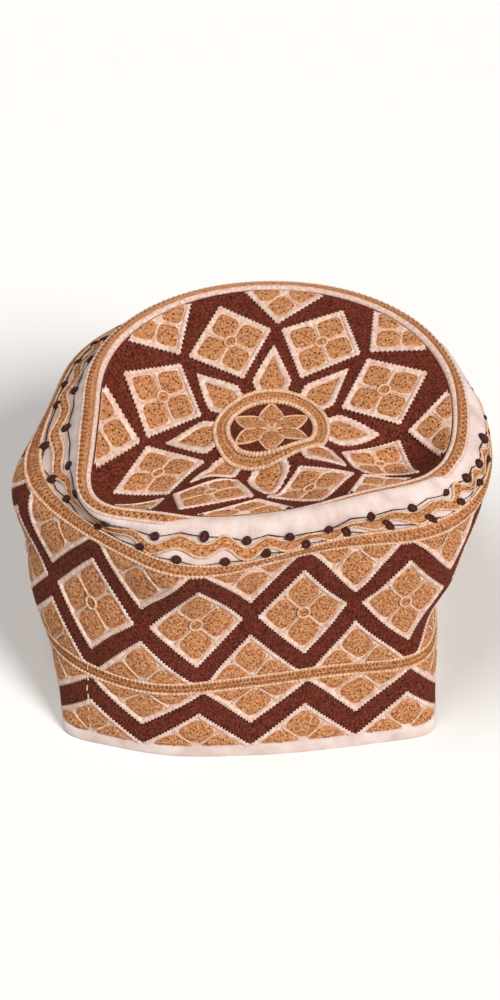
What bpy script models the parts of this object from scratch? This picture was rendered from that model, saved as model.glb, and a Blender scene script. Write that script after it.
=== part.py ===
"""Kumma: a soft round embroidered cap with a flat crown, standing on its hem.

The cap is sewn from five pieces of doubled cotton: a narrow plain hem, a tall
embroidered side band, a plain gusset that rolls over the shoulder, a raised
rim band and a flat embroidered crown that sags between its edges.
Sizes are in millimetres until to_mesh() turns them into metres.
The front of the cap faces -Y, its right side as seen there is +X, and the hem
rests on Z = 0.
"""

from collections import namedtuple
from math import pi

import bpy
import numpy as np

MM = 0.001

# Cloth and seams
REPEATS = 14            # diamonds of the embroidery round the side band
HEM_TOP = 4.6           # plain turned hem, measured up the cloth
BAND_TOP = 91.0         # the side band ends above its upper rope line
GUSSET_TOP = 107.4      # plain gusset with the scalloped braid
CLOTH_TOP = 110.0       # middle of the rim band
CROWN_INSET = 3.2       # the crown's edge lies this far inside the rim line
CROWN_DROP = 1.2        # and this far below it
SEAM = 0.3              # play left between two pieces at a seam
BAND_WALL = 2.0         # embroidered double cotton
HEM_WALL = 2.3          # the hem is turned twice
GUSSET_WALL = 1.6       # plain double cotton
CROWN_WALL = 2.0
RIM_RISE = 1.3          # the stuffed rim band stands proud of its edges
RIM_DROP = 1.0

# Mesh steps
AROUND = 112            # eight steps to a diamond
CROWN_RINGS = 8
DENSE = 2240            # fine outline that each ring is measured along
RIM_SIDES = 8

# Middle of the cap's box, so that the box stands centred on the origin
BOX_MIDDLE = (1.22, -1.98)

# One row for each ring of the cap: v is the distance up the cloth from the hem,
# z the height, tilt the rise of its back, the next four its reach from the
# middle (cx, cy), nl, nr and nb how square its front left, front right and back
# are, and bow how far the front swells past a straight line.
Ring = namedtuple("Ring", "v z tilt left right front back cx cy nl nr nb bow")
RINGS = (
    Ring(0.0, 0.0, 0.0, 75.5, 75.0, 74.0, 104.0, 0.0, -13.0, 20.0, 20.0, 2.6, 12.0),
    Ring(31.5, 30.5, 0.0, 80.5, 75.5, 72.0, 103.0, 0.0, -8.0, 5.5, 8.0, 2.6, 9.0),
    Ring(60.0, 58.0, 0.5, 88.5, 82.5, 71.5, 101.0, 0.0, -5.5, 3.0, 4.4, 2.5, 5.0),
    Ring(82.5, 80.5, 1.0, 87.5, 94.0, 79.0, 96.0, 0.5, -2.0, 2.4, 2.8, 2.3, 1.0),
    Ring(88.5, 86.0, 1.5, 87.0, 94.0, 80.5, 92.0, 2.5, -1.0, 2.4, 2.7, 2.3, 0.0),
    Ring(94.5, 91.0, 2.5, 86.5, 88.5, 80.5, 86.0, 7.0, -0.5, 2.5, 2.4, 2.2, 0.0),
    Ring(101.0, 95.5, 3.5, 82.0, 85.0, 77.5, 82.0, 9.5, 0.5, 3.0, 2.3, 2.1, 0.0),
    Ring(106.8, 100.5, 5.0, 78.6, 78.0, 75.8, 78.0, 9.5, 1.6, 3.1, 2.3, 2.08, 0.0),
    Ring(110.0, 101.5, 5.5, 75.5, 75.0, 72.3, 75.0, 9.5, 2.0, 3.2, 2.3, 2.05, 0.0),
)
TILT_REACH = 80.0       # the reach at which a ring's tilt is measured

# One row for each soft fold of the side: s is its place round the cap in
# diamonds from the front's middle, v its place up the cloth, slant its drift
# round the cap as it climbs, wide and tall its spread, out and up its depth.
Fold = namedtuple("Fold", "name s v slant wide tall out up")
FOLDS = (
    Fold("front ridge low", -0.85, 42.0, 0.0, 0.60, 42.0, 5.5, 0.0),
    Fold("front ridge", -0.55, 84.0, 0.0, 0.50, 16.0, 6.5, 0.0),
    Fold("front hollow low", 0.95, 42.0, 0.0, 0.80, 36.0, -6.0, 0.0),
    Fold("front hollow", 1.05, 92.0, 0.035, 0.85, 20.0, -7.5, 1.0),
    Fold("left ear", -2.65, 78.0, 0.0, 0.65, 14.0, 9.0, 0.0),
    Fold("rim corner", -1.75, 110.0, 0.0, 0.50, 8.0, 7.5, -1.5),
    Fold("rim pinch", 1.10, 110.0, 0.0, 0.90, 7.0, -4.0, 1.5),
    Fold("rim lip", 0.60, 107.0, 0.0, 1.60, 3.5, 0.0, 1.5),
    Fold("right rim corner", 2.45, 109.0, 0.0, 0.60, 6.0, 2.8, -0.8),
    Fold("right tuck", 2.25, 44.0, 0.0, 0.50, 10.0, -3.0, 0.0),
    Fold("right flank", 2.15, 60.0, 0.0, 0.40, 10.0, 2.4, 0.0),
    Fold("left flank", -2.45, 45.0, 0.0, 0.45, 15.0, 3.2, 0.0),
    Fold("left back hollow", -3.85, 84.0, 0.0, 0.55, 11.0, -2.8, 0.0),
    Fold("right back hollow", 4.40, 99.0, 0.0, 0.60, 8.0, -2.2, 0.0),
    Fold("left hem corner", -1.78, 0.0, 0.0, 0.30, 9.0, 3.0, 0.0),
    Fold("right hem corner", 1.78, 0.0, 0.0, 0.30, 9.0, 2.6, 0.0),
)

# The crown is slack: it hangs as a shallow bowl, deeper in these dents. It was
# cut round, so its inner rings stay round while its edge follows the rim.
CROWN_MIDDLE = (8.6, -8.2)
CROWN_RADIUS = 71.0
BOWL_DEPTH = 2.0
Dent = namedtuple("Dent", "name x y turn long wide depth")
DENTS = (
    Dent("left sag", -57.0, -17.0, 80.0, 60.0, 29.0, 21.5),
    Dent("front trench", 6.5, -39.5, -36.0, 37.5, 9.7, 10.0),
    Dent("right sag", 64.0, -25.0, -15.0, 24.0, 15.0, 21.0),
    Dent("middle sag", 9.0, 3.0, 2.0, 45.0, 24.5, 8.0),
    Dent("front left sag", -31.0, -46.5, -7.5, 33.0, 17.5, 3.2),
)


def ring_row(v):
    """Every size of the ring at v, on a smooth line through the rows above and below."""
    keys = np.array([row.v for row in RINGS])
    rows = np.array([row[1:] for row in RINGS])
    step = np.diff(keys)
    slope = np.diff(rows, axis=0) / step[:, None]
    tangent = np.zeros_like(rows)
    tangent[0] = slope[0]
    tangent[-1] = slope[-1]
    for i in range(1, len(keys) - 1):
        before, after = slope[i - 1], slope[i]
        turns = before * after <= 0.0
        wide = 2.0 * step[i] + step[i - 1]
        near = step[i] + 2.0 * step[i - 1]
        safe_before = np.where(turns, 1.0, before)
        safe_after = np.where(turns, 1.0, after)
        tangent[i] = np.where(turns, 0.0, (wide + near) / (wide / safe_before + near / safe_after))
    i = int(np.clip(np.searchsorted(keys, v) - 1, 0, len(keys) - 2))
    h = step[i]
    t = (v - keys[i]) / h
    values = (
        (2 * t**3 - 3 * t**2 + 1) * rows[i]
        + (t**3 - 2 * t**2 + t) * h * tangent[i]
        + (3 * t**2 - 2 * t**3) * rows[i + 1]
        + (t**3 - t**2) * h * tangent[i + 1]
    )
    return Ring(v, *values)


def ring_outline(v, count=AROUND):
    """Points evenly spaced round the cap at v, from the front's middle towards +X."""
    row = ring_row(v)
    turn = np.linspace(0.0, 2.0 * pi, DENSE, endpoint=False) - pi / 2.0
    cos, sin = np.cos(turn), np.sin(turn)
    at_front = sin < 0.0
    square = np.where(at_front, np.where(cos > 0.0, row.nr, row.nl), row.nb)
    reach = (np.abs(cos) ** square + np.abs(sin) ** square) ** (-1.0 / square)
    across, along = reach * cos, reach * sin
    x = np.where(cos > 0.0, row.right, row.left) * across + row.cx
    y = np.where(at_front, row.front, row.back) * along + row.cy
    y = y - np.where(at_front, row.bow * (1.0 - across**2) * np.abs(along), 0.0)
    points = even_steps(np.stack([x, y], axis=-1), row.cy, count)
    before = np.roll(points, 1, axis=0)
    after = np.roll(points, -1, axis=0)
    tangent = (after - before) / np.hypot(*(after - before).T)[:, None]
    outward = np.stack([tangent[:, 1], -tangent[:, 0]], axis=-1)
    place = np.arange(count) / count * REPEATS
    out = np.zeros(count)
    up = np.zeros(count)
    for fold in FOLDS:
        away = place - fold.s - fold.slant * (v - fold.v)
        away = (away + REPEATS / 2.0) % REPEATS - REPEATS / 2.0
        weight = np.exp(-((away / fold.wide) ** 2) - ((v - fold.v) / fold.tall) ** 2)
        out += fold.out * weight
        up += fold.up * weight
    points = points + outward * out[:, None]
    height = row.z + row.tilt * (points[:, 1] - row.cy) / TILT_REACH + up
    return np.column_stack([points, height])


def even_steps(outline, middle_y, count):
    """The closed outline walked in even steps from where its front crosses X = 0."""
    closed = np.vstack([outline, outline[:1]])
    length = np.concatenate([[0.0], np.cumsum(np.hypot(*np.diff(closed, axis=0).T))])
    behind = np.where(outline[:, 1] < middle_y, 0.0, 1000.0)
    start = length[np.argmin(np.abs(outline[:, 0]) + behind)]
    walk = (start + np.linspace(0.0, length[-1], count, endpoint=False)) % length[-1]
    return np.stack([np.interp(walk, length, closed[:, k]) for k in (0, 1)], axis=-1)


def side_normals(v, count=AROUND):
    """Outward normals of the side at v."""
    here = ring_outline(v, count)
    round_cap = np.roll(here, -1, axis=0) - np.roll(here, 1, axis=0)
    low, high = max(v - 0.8, 0.0), min(v + 0.8, CLOTH_TOP)
    up_cloth = ring_outline(high, count) - ring_outline(low, count)
    normal = np.cross(round_cap, up_cloth)
    return normal / np.linalg.norm(normal, axis=1)[:, None]


def crown_points(share, count=AROUND):
    """Ring of the crown at a share of the way from its middle to its edge."""
    rim = ring_outline(CLOTH_TOP, count)
    around = np.roll(rim, -1, axis=0) - np.roll(rim, 1, axis=0)
    inward = np.stack([-around[:, 1], around[:, 0]], axis=-1)
    inward /= np.linalg.norm(inward, axis=1)[:, None]
    edge = rim[:, :2] + inward * CROWN_INSET
    middle = np.array(CROWN_MIDDLE)
    turn = np.arange(count) / count * 2.0 * pi - pi / 2.0
    circle = np.stack([np.cos(turn), np.sin(turn)], axis=-1) * CROWN_RADIUS
    plan = middle + share * (circle * (1.0 - share**2) + (edge - middle) * share**2)
    level = rim[:, 2].mean() * (1.0 - share) + rim[:, 2] * share
    height = level - CROWN_DROP * share**2 - BOWL_DEPTH * (1.0 - share**2)
    for dent in DENTS:
        angle = np.radians(dent.turn)
        dx, dy = plan[:, 0] - dent.x, plan[:, 1] - dent.y
        along = dx * np.cos(angle) + dy * np.sin(angle)
        aside = dy * np.cos(angle) - dx * np.sin(angle)
        depth = dent.depth * (1.0 - share**4)
        height -= depth * np.exp(-((along / dent.long) ** 2) - (aside / dent.wide) ** 2)
    return np.column_stack([plan, height])


def crown_normals(share, count=AROUND):
    """Upward normals of the crown at one share."""
    here = crown_points(share, count)
    round_crown = np.roll(here, -1, axis=0) - np.roll(here, 1, axis=0)
    outwards = crown_points(min(share + 0.01, 1.0), count) - crown_points(share - 0.01, count)
    normal = np.cross(outwards, round_crown)
    return normal / np.linalg.norm(normal, axis=1)[:, None]


def lathe_faces(rows, count, closed):
    """Quads between neighbouring rings of points, and back to the first when closed."""
    faces = []
    last = rows if closed else rows - 1
    for i in range(last):
        for j in range(count):
            k = (j + 1) % count
            low, high = i * count, ((i + 1) % rows) * count
            faces.append((low + j, low + k, high + k, high + j))
    return faces


def wall(low, high, rows, thickness):
    """Ring-shaped piece of the side between two places up the cloth."""
    outer, inner = [], []
    for v in np.linspace(low, high, rows):
        skin = ring_outline(v)
        normal = side_normals(v)
        if v == 0.0:
            normal = normal * (1.0, 1.0, 0.0)
            normal /= np.linalg.norm(normal, axis=1)[:, None]
        outer.append(skin)
        inner.append(skin - normal * thickness)
    rings = outer + inner[::-1]
    return np.vstack(rings), lathe_faces(len(rings), AROUND, closed=True)


def crown():
    """Round panel: an upper and a lower skin, joined round the edge."""
    upper, lower = [], []
    for share in np.linspace(1.0, 0.0, CROWN_RINGS, endpoint=False):
        skin = crown_points(share)
        upper.append(skin)
        lower.append(skin - crown_normals(share) * CROWN_WALL)
    rings = lower[::-1] + upper
    faces = lathe_faces(len(rings), AROUND, closed=False)
    top = crown_points(0.0)[0]
    points = np.vstack(rings + [top, top - (0.0, 0.0, CROWN_WALL)])
    top_at, low_at = len(points) - 2, len(points) - 1
    last = (len(rings) - 1) * AROUND
    for j in range(AROUND):
        k = (j + 1) % AROUND
        faces.append((last + j, last + k, top_at))
        faces.append((k, j, low_at))
    return points, faces


def shortened(vectors, cut):
    """The same vectors, each shorter by the same length."""
    length = np.linalg.norm(vectors, axis=1)[:, None]
    return vectors * (1.0 - cut / length)


def rim_band():
    """Stuffed band on the rim, oval in section, between the gusset and the crown."""
    rim = ring_outline(CLOTH_TOP)
    gusset_end = ring_outline(GUSSET_TOP) - side_normals(GUSSET_TOP) * GUSSET_WALL * 0.3
    crown_end = crown_points(1.0) - crown_normals(1.0) * CROWN_WALL * 0.3
    outwards = shortened(gusset_end - rim, SEAM)
    inwards = shortened(crown_end - rim, SEAM)
    round_cap = np.roll(rim, -1, axis=0) - np.roll(rim, 1, axis=0)
    upward = np.cross(round_cap, inwards - outwards)
    upward /= np.linalg.norm(upward, axis=1)[:, None]
    rings = []
    for side in range(RIM_SIDES):
        angle = 2.0 * pi * side / RIM_SIDES
        lift = (RIM_RISE if np.sin(angle) > 0.0 else RIM_DROP) * np.sin(angle)
        reach = outwards if np.cos(angle) > 0.0 else inwards
        rings.append(rim + reach * abs(np.cos(angle)) + upward * lift)
    return np.vstack(rings), lathe_faces(RIM_SIDES, AROUND, closed=True)


def material(name, colour, roughness):
    """Cotton cloth of one colour, given as linear red, green and blue."""
    cloth = bpy.data.materials.new(name)
    cloth.use_nodes = True
    shader = cloth.node_tree.nodes["Principled BSDF"]
    shader.inputs["Base Color"].default_value = (*colour, 1.0)
    shader.inputs["Roughness"].default_value = roughness
    shader.inputs["Metallic"].default_value = 0.0
    return cloth


def to_mesh(name, shape, cloth):
    """Closed mesh object in metres, with every face turned outwards."""
    points, faces = shape
    shift = np.array([BOX_MIDDLE[0], BOX_MIDDLE[1], 0.0])
    mesh = bpy.data.meshes.new(name)
    mesh.from_pydata([tuple(p) for p in (points - shift) * MM], [], faces)
    mesh.materials.append(cloth)
    mesh.polygons.foreach_set("use_smooth", [True] * len(mesh.polygons))
    mesh.update()
    piece = bpy.data.objects.new(name, mesh)
    bpy.context.scene.collection.objects.link(piece)
    return piece


def main():
    for old in list(bpy.data.objects):
        bpy.data.objects.remove(old, do_unlink=True)
    plain = material("bleached_cotton", (0.80, 0.72, 0.66), 0.85)
    stitched = material("embroidered_cotton", (0.46, 0.22, 0.10), 0.75)
    panel = material("embroidered_crown_cotton", (0.44, 0.21, 0.10), 0.75)
    trim = material("chain_stitch_cotton", (0.62, 0.36, 0.18), 0.80)
    turned = material("turned_hem_cotton", (0.78, 0.70, 0.63), 0.85)
    to_mesh("hem_band", wall(0.0, HEM_TOP, 2, HEM_WALL), turned)
    to_mesh("side_band", wall(HEM_TOP + SEAM, BAND_TOP, 9, BAND_WALL), stitched)
    to_mesh("gusset", wall(BAND_TOP + SEAM, GUSSET_TOP, 4, GUSSET_WALL), plain)
    to_mesh("rim_band", rim_band(), trim)
    to_mesh("crown_panel", crown(), panel)


main()
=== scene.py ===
"""Dressed model of an Omani kumma: a soft round embroidered cap on a pale floor.

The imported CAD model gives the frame. Each sewn piece of the cap is a class with
its sizes as fields and a build method, and its needlework collects the faces,
builds the mesh and dresses it with its finishes. Sizes are in millimetres of cloth
until a piece becomes a mesh. The front of the cap faces -Y and the hem rests on Z = 0.
"""

from __future__ import annotations

import logging
from dataclasses import astuple, dataclass, field
from enum import Enum
from functools import cache
from math import cos, pi, radians, sin

import bpy
import numpy as np
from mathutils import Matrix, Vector

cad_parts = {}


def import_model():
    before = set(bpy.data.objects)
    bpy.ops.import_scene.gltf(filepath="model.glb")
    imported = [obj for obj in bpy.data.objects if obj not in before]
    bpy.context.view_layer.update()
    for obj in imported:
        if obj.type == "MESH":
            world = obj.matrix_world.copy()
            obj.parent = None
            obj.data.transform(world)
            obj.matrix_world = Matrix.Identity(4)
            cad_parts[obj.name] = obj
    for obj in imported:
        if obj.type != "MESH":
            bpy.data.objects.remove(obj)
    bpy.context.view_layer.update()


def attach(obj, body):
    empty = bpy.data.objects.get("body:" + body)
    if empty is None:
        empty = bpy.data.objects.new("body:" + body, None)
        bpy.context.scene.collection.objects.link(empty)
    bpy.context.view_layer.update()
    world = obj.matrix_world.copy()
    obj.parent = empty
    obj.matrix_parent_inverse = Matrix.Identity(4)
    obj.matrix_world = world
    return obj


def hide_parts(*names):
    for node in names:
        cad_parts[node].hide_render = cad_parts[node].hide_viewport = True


log = logging.getLogger("kumma")

MM = 0.001
TURN = 2.0 * pi
REPEATS = 14                 # diamonds round the side band
REPEAT = 42.0                # width of one diamond on the cloth
GIRTH = REPEATS * REPEAT     # all the way round the cap
CLOTH_TOP = 110.0            # middle of the rim band, measured up the cloth
CROWN_RADIUS = 70.0          # of the flat crown before it sags
STITCH = 1.5                 # length of one chain stitch
BOX_MIDDLE = np.array([1.22, -1.98, 0.0])    # of the tables' cap; the frame has it at zero


@dataclass(frozen=True)
class Ring:
    """One level ring of the side, from the table that the CAD model also uses.

    left to back are its half widths from cx and cy, nl, nr and nb how square its
    corners are, bow how far its front bulges, and tilt how much its back rises.
    """

    v: float
    z: float
    tilt: float
    left: float
    right: float
    front: float
    back: float
    cx: float
    cy: float
    nl: float
    nr: float
    nb: float
    bow: float


@dataclass(frozen=True)
class Fold:
    """A soft swelling or hollow of the side.

    s counts diamonds from the front's middle, v is up the cloth, slant is the
    drift with height, wide and tall are its spread, out and up its depth.
    """

    name: str
    s: float
    v: float
    slant: float
    wide: float
    tall: float
    out: float
    up: float


@dataclass(frozen=True)
class Dent:
    """A long hollow of the crown, turned by some degrees from the X axis."""

    name: str
    x: float
    y: float
    turn: float
    long: float
    wide: float
    depth: float


@dataclass(frozen=True)
class Pull:
    """Cloth drawn round the crown by some degrees near one direction.

    The pull begins at one share of the crown's radius and is full at another.
    """

    towards: float
    spread: float
    degrees: float
    start: float = 0.15
    full: float = 0.45


@dataclass(frozen=True)
class Wave:
    """How many waves of the braid lie between the front's middle and one place.

    swing and rise are the share of its usual height and its shift up there.
    """

    s: float
    count: float
    swing: float = 1.0
    rise: float = 0.0


@dataclass(frozen=True)
class Draw:
    """Cloth of the side drawn round the cap and up it, near one place."""

    s: float
    v: float
    wide: float
    tall: float
    along: float
    up: float
    slant: float = 0.0


RINGS = (
    Ring(0.0, 0.0, 0.0, 75.5, 75.0, 74.0, 104.0, 0.0, -13.0, 20.0, 20.0, 2.6, 12.0),
    Ring(31.5, 30.5, 0.0, 80.5, 75.5, 72.0, 103.0, 0.0, -8.0, 5.5, 8.0, 2.6, 9.0),
    Ring(60.0, 58.0, 0.5, 88.5, 82.5, 71.5, 101.0, 0.0, -5.5, 3.0, 4.4, 2.5, 5.0),
    Ring(82.5, 80.5, 1.0, 87.5, 94.0, 79.0, 96.0, 0.5, -2.0, 2.4, 2.8, 2.3, 1.0),
    Ring(88.5, 86.0, 1.5, 87.0, 94.0, 80.5, 92.0, 2.5, -1.0, 2.4, 2.7, 2.3, 0.0),
    Ring(94.5, 91.0, 2.5, 86.5, 88.5, 80.5, 86.0, 7.0, -0.5, 2.5, 2.4, 2.2, 0.0),
    Ring(101.0, 95.5, 3.5, 82.0, 85.0, 77.5, 82.0, 9.5, 0.5, 3.0, 2.3, 2.1, 0.0),
    Ring(106.8, 100.5, 5.0, 78.6, 78.0, 75.8, 78.0, 9.5, 1.6, 3.1, 2.3, 2.08, 0.0),
    Ring(110.0, 101.5, 5.5, 75.5, 75.0, 72.3, 75.0, 9.5, 2.0, 3.2, 2.3, 2.05, 0.0),
)

FOLDS = (
    Fold("front ridge low", -0.85, 42.0, 0.0, 0.60, 42.0, 5.5, 0.0),
    Fold("front ridge", -0.55, 84.0, 0.0, 0.50, 16.0, 6.5, 0.0),
    Fold("front hollow low", 0.95, 42.0, 0.0, 0.80, 36.0, -6.0, 0.0),
    Fold("front hollow", 1.05, 92.0, 0.035, 0.85, 20.0, -7.5, 1.0),
    Fold("left ear", -2.65, 78.0, 0.0, 0.65, 14.0, 9.0, 0.0),
    Fold("rim corner", -1.75, 110.0, 0.0, 0.50, 8.0, 7.5, -1.5),
    Fold("rim pinch", 1.10, 110.0, 0.0, 0.90, 7.0, -4.0, 1.5),
    Fold("rim lip", 0.60, 107.0, 0.0, 1.60, 3.5, 0.0, 1.5),
    Fold("right rim corner", 2.45, 109.0, 0.0, 0.60, 6.0, 2.8, -0.8),
    Fold("right tuck", 2.25, 44.0, 0.0, 0.50, 10.0, -3.0, 0.0),
    Fold("right flank", 2.15, 60.0, 0.0, 0.40, 10.0, 2.4, 0.0),
    Fold("left flank", -2.45, 45.0, 0.0, 0.45, 15.0, 3.2, 0.0),
    Fold("left back hollow", -3.85, 84.0, 0.0, 0.55, 11.0, -2.8, 0.0),
    Fold("right back hollow", 4.40, 99.0, 0.0, 0.60, 8.0, -2.2, 0.0),
    Fold("left hem corner", -1.78, 0.0, 0.0, 0.30, 9.0, 3.0, 0.0),
    Fold("right hem corner", 1.78, 0.0, 0.0, 0.30, 9.0, 2.6, 0.0),
)

# Shallow folds that only the dressed cap has.
CREASES = (
    Fold("gusset roll", -1.60, 103.0, 0.0, 0.35, 4.0, 2.0, 0.0),
    Fold("gusset pucker", 2.30, 101.0, 0.05, 0.12, 6.0, -1.6, 0.0),
    Fold("braid tuck", 1.05, 96.5, 0.0, 0.85, 3.0, -3.6, 0.0),
    Fold("gusset swell", 0.95, 104.5, 0.0, 0.95, 3.0, 1.6, 0.5),
    Fold("left rim", -3.3, 110.0, 0.0, 0.9, 7.0, -2.3, 0.0),
    Fold("left hem", -1.85, 0.0, 0.0, 0.35, 16.0, -2.6, 0.0),
    Fold("right hem", 1.85, 0.0, 0.0, 0.35, 16.0, -2.0, 0.0),
    Fold("left flank low", -2.35, 36.0, 0.0, 0.45, 13.0, 1.8, 0.0),
    Fold("right shoulder", 4.50, 94.0, 0.0, 0.70, 8.0, -2.6, 0.0),
)

CROWN_MIDDLE = (8.6, -8.2)
CROWN_SPREAD = 71.0          # radius of the crown's round inner rings as it hangs
CROWN_INSET = 3.2            # from the rim's middle to the crown's edge
CROWN_DROP = 1.2             # of the crown's edge below the rim
BOWL_DEPTH = 2.0
DENTS = (
    Dent("left sag", -57.0, -17.0, 80.0, 60.0, 29.0, 21.5),
    Dent("front trench", 6.5, -39.5, -36.0, 37.5, 9.7, 10.0),
    Dent("right sag", 64.0, -25.0, -15.0, 24.0, 15.0, 21.0),
    Dent("middle sag", 9.0, 3.0, 2.0, 45.0, 24.5, 8.0),
    Dent("front left sag", -31.0, -46.5, -7.5, 33.0, 17.5, 3.2),
)
CROWN_CREASES = (
    Dent("right crease", 50.0, -38.0, -42.0, 24.0, 3.5, 3.0),
)
PULLS = (
    Pull(205.0, 28.0, 9.0),
    Pull(250.0, 24.0, -3.5),
    Pull(345.0, 28.0, -3.0),
    Pull(150.0, 28.0, 1.5),
    Pull(197.0, 33.0, 12.5, start=0.72, full=1.0),
    Pull(345.0, 25.0, -5.0, start=0.72, full=1.0),
)

DRAWS = (
    Draw(1.50, 35.0, 0.70, 12.0, 4.0, 0.0),
    Draw(-0.50, 28.0, 0.60, 9.0, 2.4, 0.0),
    Draw(0.50, 27.0, 0.50, 8.0, 1.4, 0.0),
    Draw(-0.50, 82.0, 0.50, 9.0, 2.0, 0.0),
    Draw(1.50, 82.0, 0.60, 10.0, 1.6, 0.0),
    Draw(1.00, 60.0, 0.30, 8.0, -0.6, 2.4),
    Draw(-1.00, 60.0, 0.35, 9.0, 0.8, -2.0),
    Draw(-0.78, 72.5, 0.22, 9.0, 0.8, -1.8),
    Draw(1.25, 75.5, 0.20, 8.0, 0.0, 1.8),
    Draw(0.05, 89.5, 0.35, 6.0, 0.0, -2.2),
    Draw(7.00, 110.0, 2.60, 55.0, 10.0, 0.0),
)

WAVES = (
    Wave(-7.0, -13.0, swing=0.5, rise=-1.3),
    Wave(-4.85, -9.0, swing=0.5, rise=-1.3),
    Wave(-4.31, -8.0, swing=0.7),
    Wave(-3.71, -7.0, swing=0.5),
    Wave(-3.07, -6.0, swing=0.4),
    Wave(-2.42, -5.0, swing=0.4),
    Wave(-2.01, -4.0, swing=0.6),
    Wave(-0.95, -2.0),
    Wave(-0.46, -1.0, swing=0.9, rise=3.2),
    Wave(-0.03, 0.0),
    Wave(0.40, 1.0, swing=0.6),
    Wave(0.81, 2.0, swing=0.6),
    Wave(1.79, 4.0, swing=0.6),
    Wave(2.24, 5.0),
    Wave(2.56, 6.0),
    Wave(2.84, 7.0),
    Wave(3.22, 8.0),
    Wave(3.66, 9.0, swing=0.5, rise=-1.9),
    Wave(4.60, 11.0, swing=0.5, rise=-1.9),
    Wave(7.0, 16.0, swing=0.5, rise=-1.3),
)

TILT_REACH = 80.0            # distance from a ring's middle over which it rises by its tilt
AROUND = 1120                # columns of the sampled side
DENSE = 4480                 # points of a ring before they are spaced evenly
SIDE_STEP = 0.5              # rows of the sampled side
CROWN_STEPS = 120            # rings of the sampled crown
BEHIND = 1000.0              # more than any distance on the cap


def unit(vectors: np.ndarray) -> np.ndarray:
    """The same directions with length one."""
    return vectors / np.linalg.norm(vectors, axis=-1, keepdims=True)


def ahead(points: np.ndarray, axis: int = 0) -> np.ndarray:
    """From the point before to the point after, at each point of a closed line."""
    return np.roll(points, -1, axis=axis) - np.roll(points, 1, axis=axis)


def left_of(vectors: np.ndarray) -> np.ndarray:
    """Flat directions turned left by a quarter."""
    return np.stack([-vectors[..., 1], vectors[..., 0]], axis=-1)


def wrapped(value: np.ndarray, full: float) -> np.ndarray:
    """Places on a closed line of a given length, from minus to plus half of it."""
    return (value + full / 2.0) % full - full / 2.0


def round_cap(count: int) -> np.ndarray:
    """Evenly spaced distances round the cap, from the front's middle."""
    return np.arange(count) * (GIRTH / count)


def circle(count: int) -> np.ndarray:
    """Evenly spaced places on a circle of radius one, turning left from the right."""
    turn = np.linspace(0.0, TURN, count, endpoint=False)
    return np.stack([np.cos(turn), np.sin(turn)], axis=-1)


def square_reach(a: np.ndarray, b: np.ndarray, power: np.ndarray | float) -> np.ndarray:
    """How much farther out than the circle a rounded square lies in each direction."""
    return (np.abs(a) ** power + np.abs(b) ** power) ** (-1.0 / power)


def by_turns(count: int, a: float, b: float) -> np.ndarray:
    """The first value for even numbers and the second for odd ones."""
    return np.where(np.arange(count) % 2 == 0, a, b)


def placed(u: np.ndarray, v: float | np.ndarray) -> np.ndarray:
    """Places round the cap with their distance up the cloth."""
    return np.column_stack([u, np.full(len(u), v)])


def raised(spots: np.ndarray, height: float | np.ndarray) -> np.ndarray:
    """Places on the cloth with their height above it."""
    return np.column_stack([spots, np.full(len(spots), height)])


def eased(value: np.ndarray, start: float, end: float) -> np.ndarray:
    """A smooth step, from zero at the start to one at the end."""
    t = np.clip((value - start) / (end - start), 0.0, 1.0)
    return t * t * (3.0 - 2.0 * t)


def tucked(u: np.ndarray) -> np.ndarray:
    """How far, from zero to one, the rim is rolled in behind the gusset, as at the front."""
    s = wrapped(u / REPEAT, REPEATS)
    return (eased(s, -1.0, -0.55) * (1.0 - eased(s, 2.24, 2.36))
            * (1.0 - 0.42 * eased(s, 0.5, 1.4)))


def gathered(table: tuple, s: np.ndarray, v: np.ndarray, *names: str) -> list[np.ndarray]:
    """Adds up some sizes of a table's rows, each fading out round its row's place.

    Args:
        table: Folds or draws of the side.
        s: Diamonds round the cap from the front's middle.
        v: Distance up the cloth.
        *names: Sizes wanted.

    Returns:
        One sum for each name, at every place.
    """
    sums = [np.zeros_like(s) for _ in names]
    for row in table:
        away = wrapped(s - row.s - row.slant * (v - row.v), REPEATS)
        weight = np.exp(-((away / row.wide) ** 2) - ((v - row.v) / row.tall) ** 2)
        for total, name in zip(sums, names):
            total += getattr(row, name) * weight
    return sums


def clipped(outline: np.ndarray, top: float | None, bottom: float | None) -> np.ndarray:
    """The part of a closed outline between two level lines.

    Args:
        outline: Places on the cloth.
        top: Highest second distance kept, or None.
        bottom: Lowest second distance kept, or None.

    Returns:
        The cut outline.
    """
    for limit, sign in ((top, 1.0), (bottom, -1.0)):
        if limit is None:
            continue
        kept = []
        for here, after in zip(outline, np.roll(outline, -1, axis=0)):
            a, b = sign * (limit - here[1]), sign * (limit - after[1])
            if a >= 0.0:
                kept.append(here)
            if a * b < 0.0:
                kept.append(here + (after - here) * a / (a - b))
        outline = np.array(kept)
    return outline


def resampled(outline: np.ndarray, count: int, first: int = 0) -> np.ndarray:
    """The closed outline with evenly spaced points.

    Args:
        outline: Places on the cloth.
        count: Number of points wanted.
        first: Number of the point to start from.

    Returns:
        The new outline.
    """
    closed = np.vstack([outline, outline[:1]])
    length = np.concatenate([[0.0], np.cumsum(np.hypot(*np.diff(closed, axis=0).T))])
    walk = (length[first] + np.linspace(0.0, length[-1], count, endpoint=False)) % length[-1]
    return np.stack([np.interp(walk, length, closed[:, k]) for k in (0, 1)], axis=-1)


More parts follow.
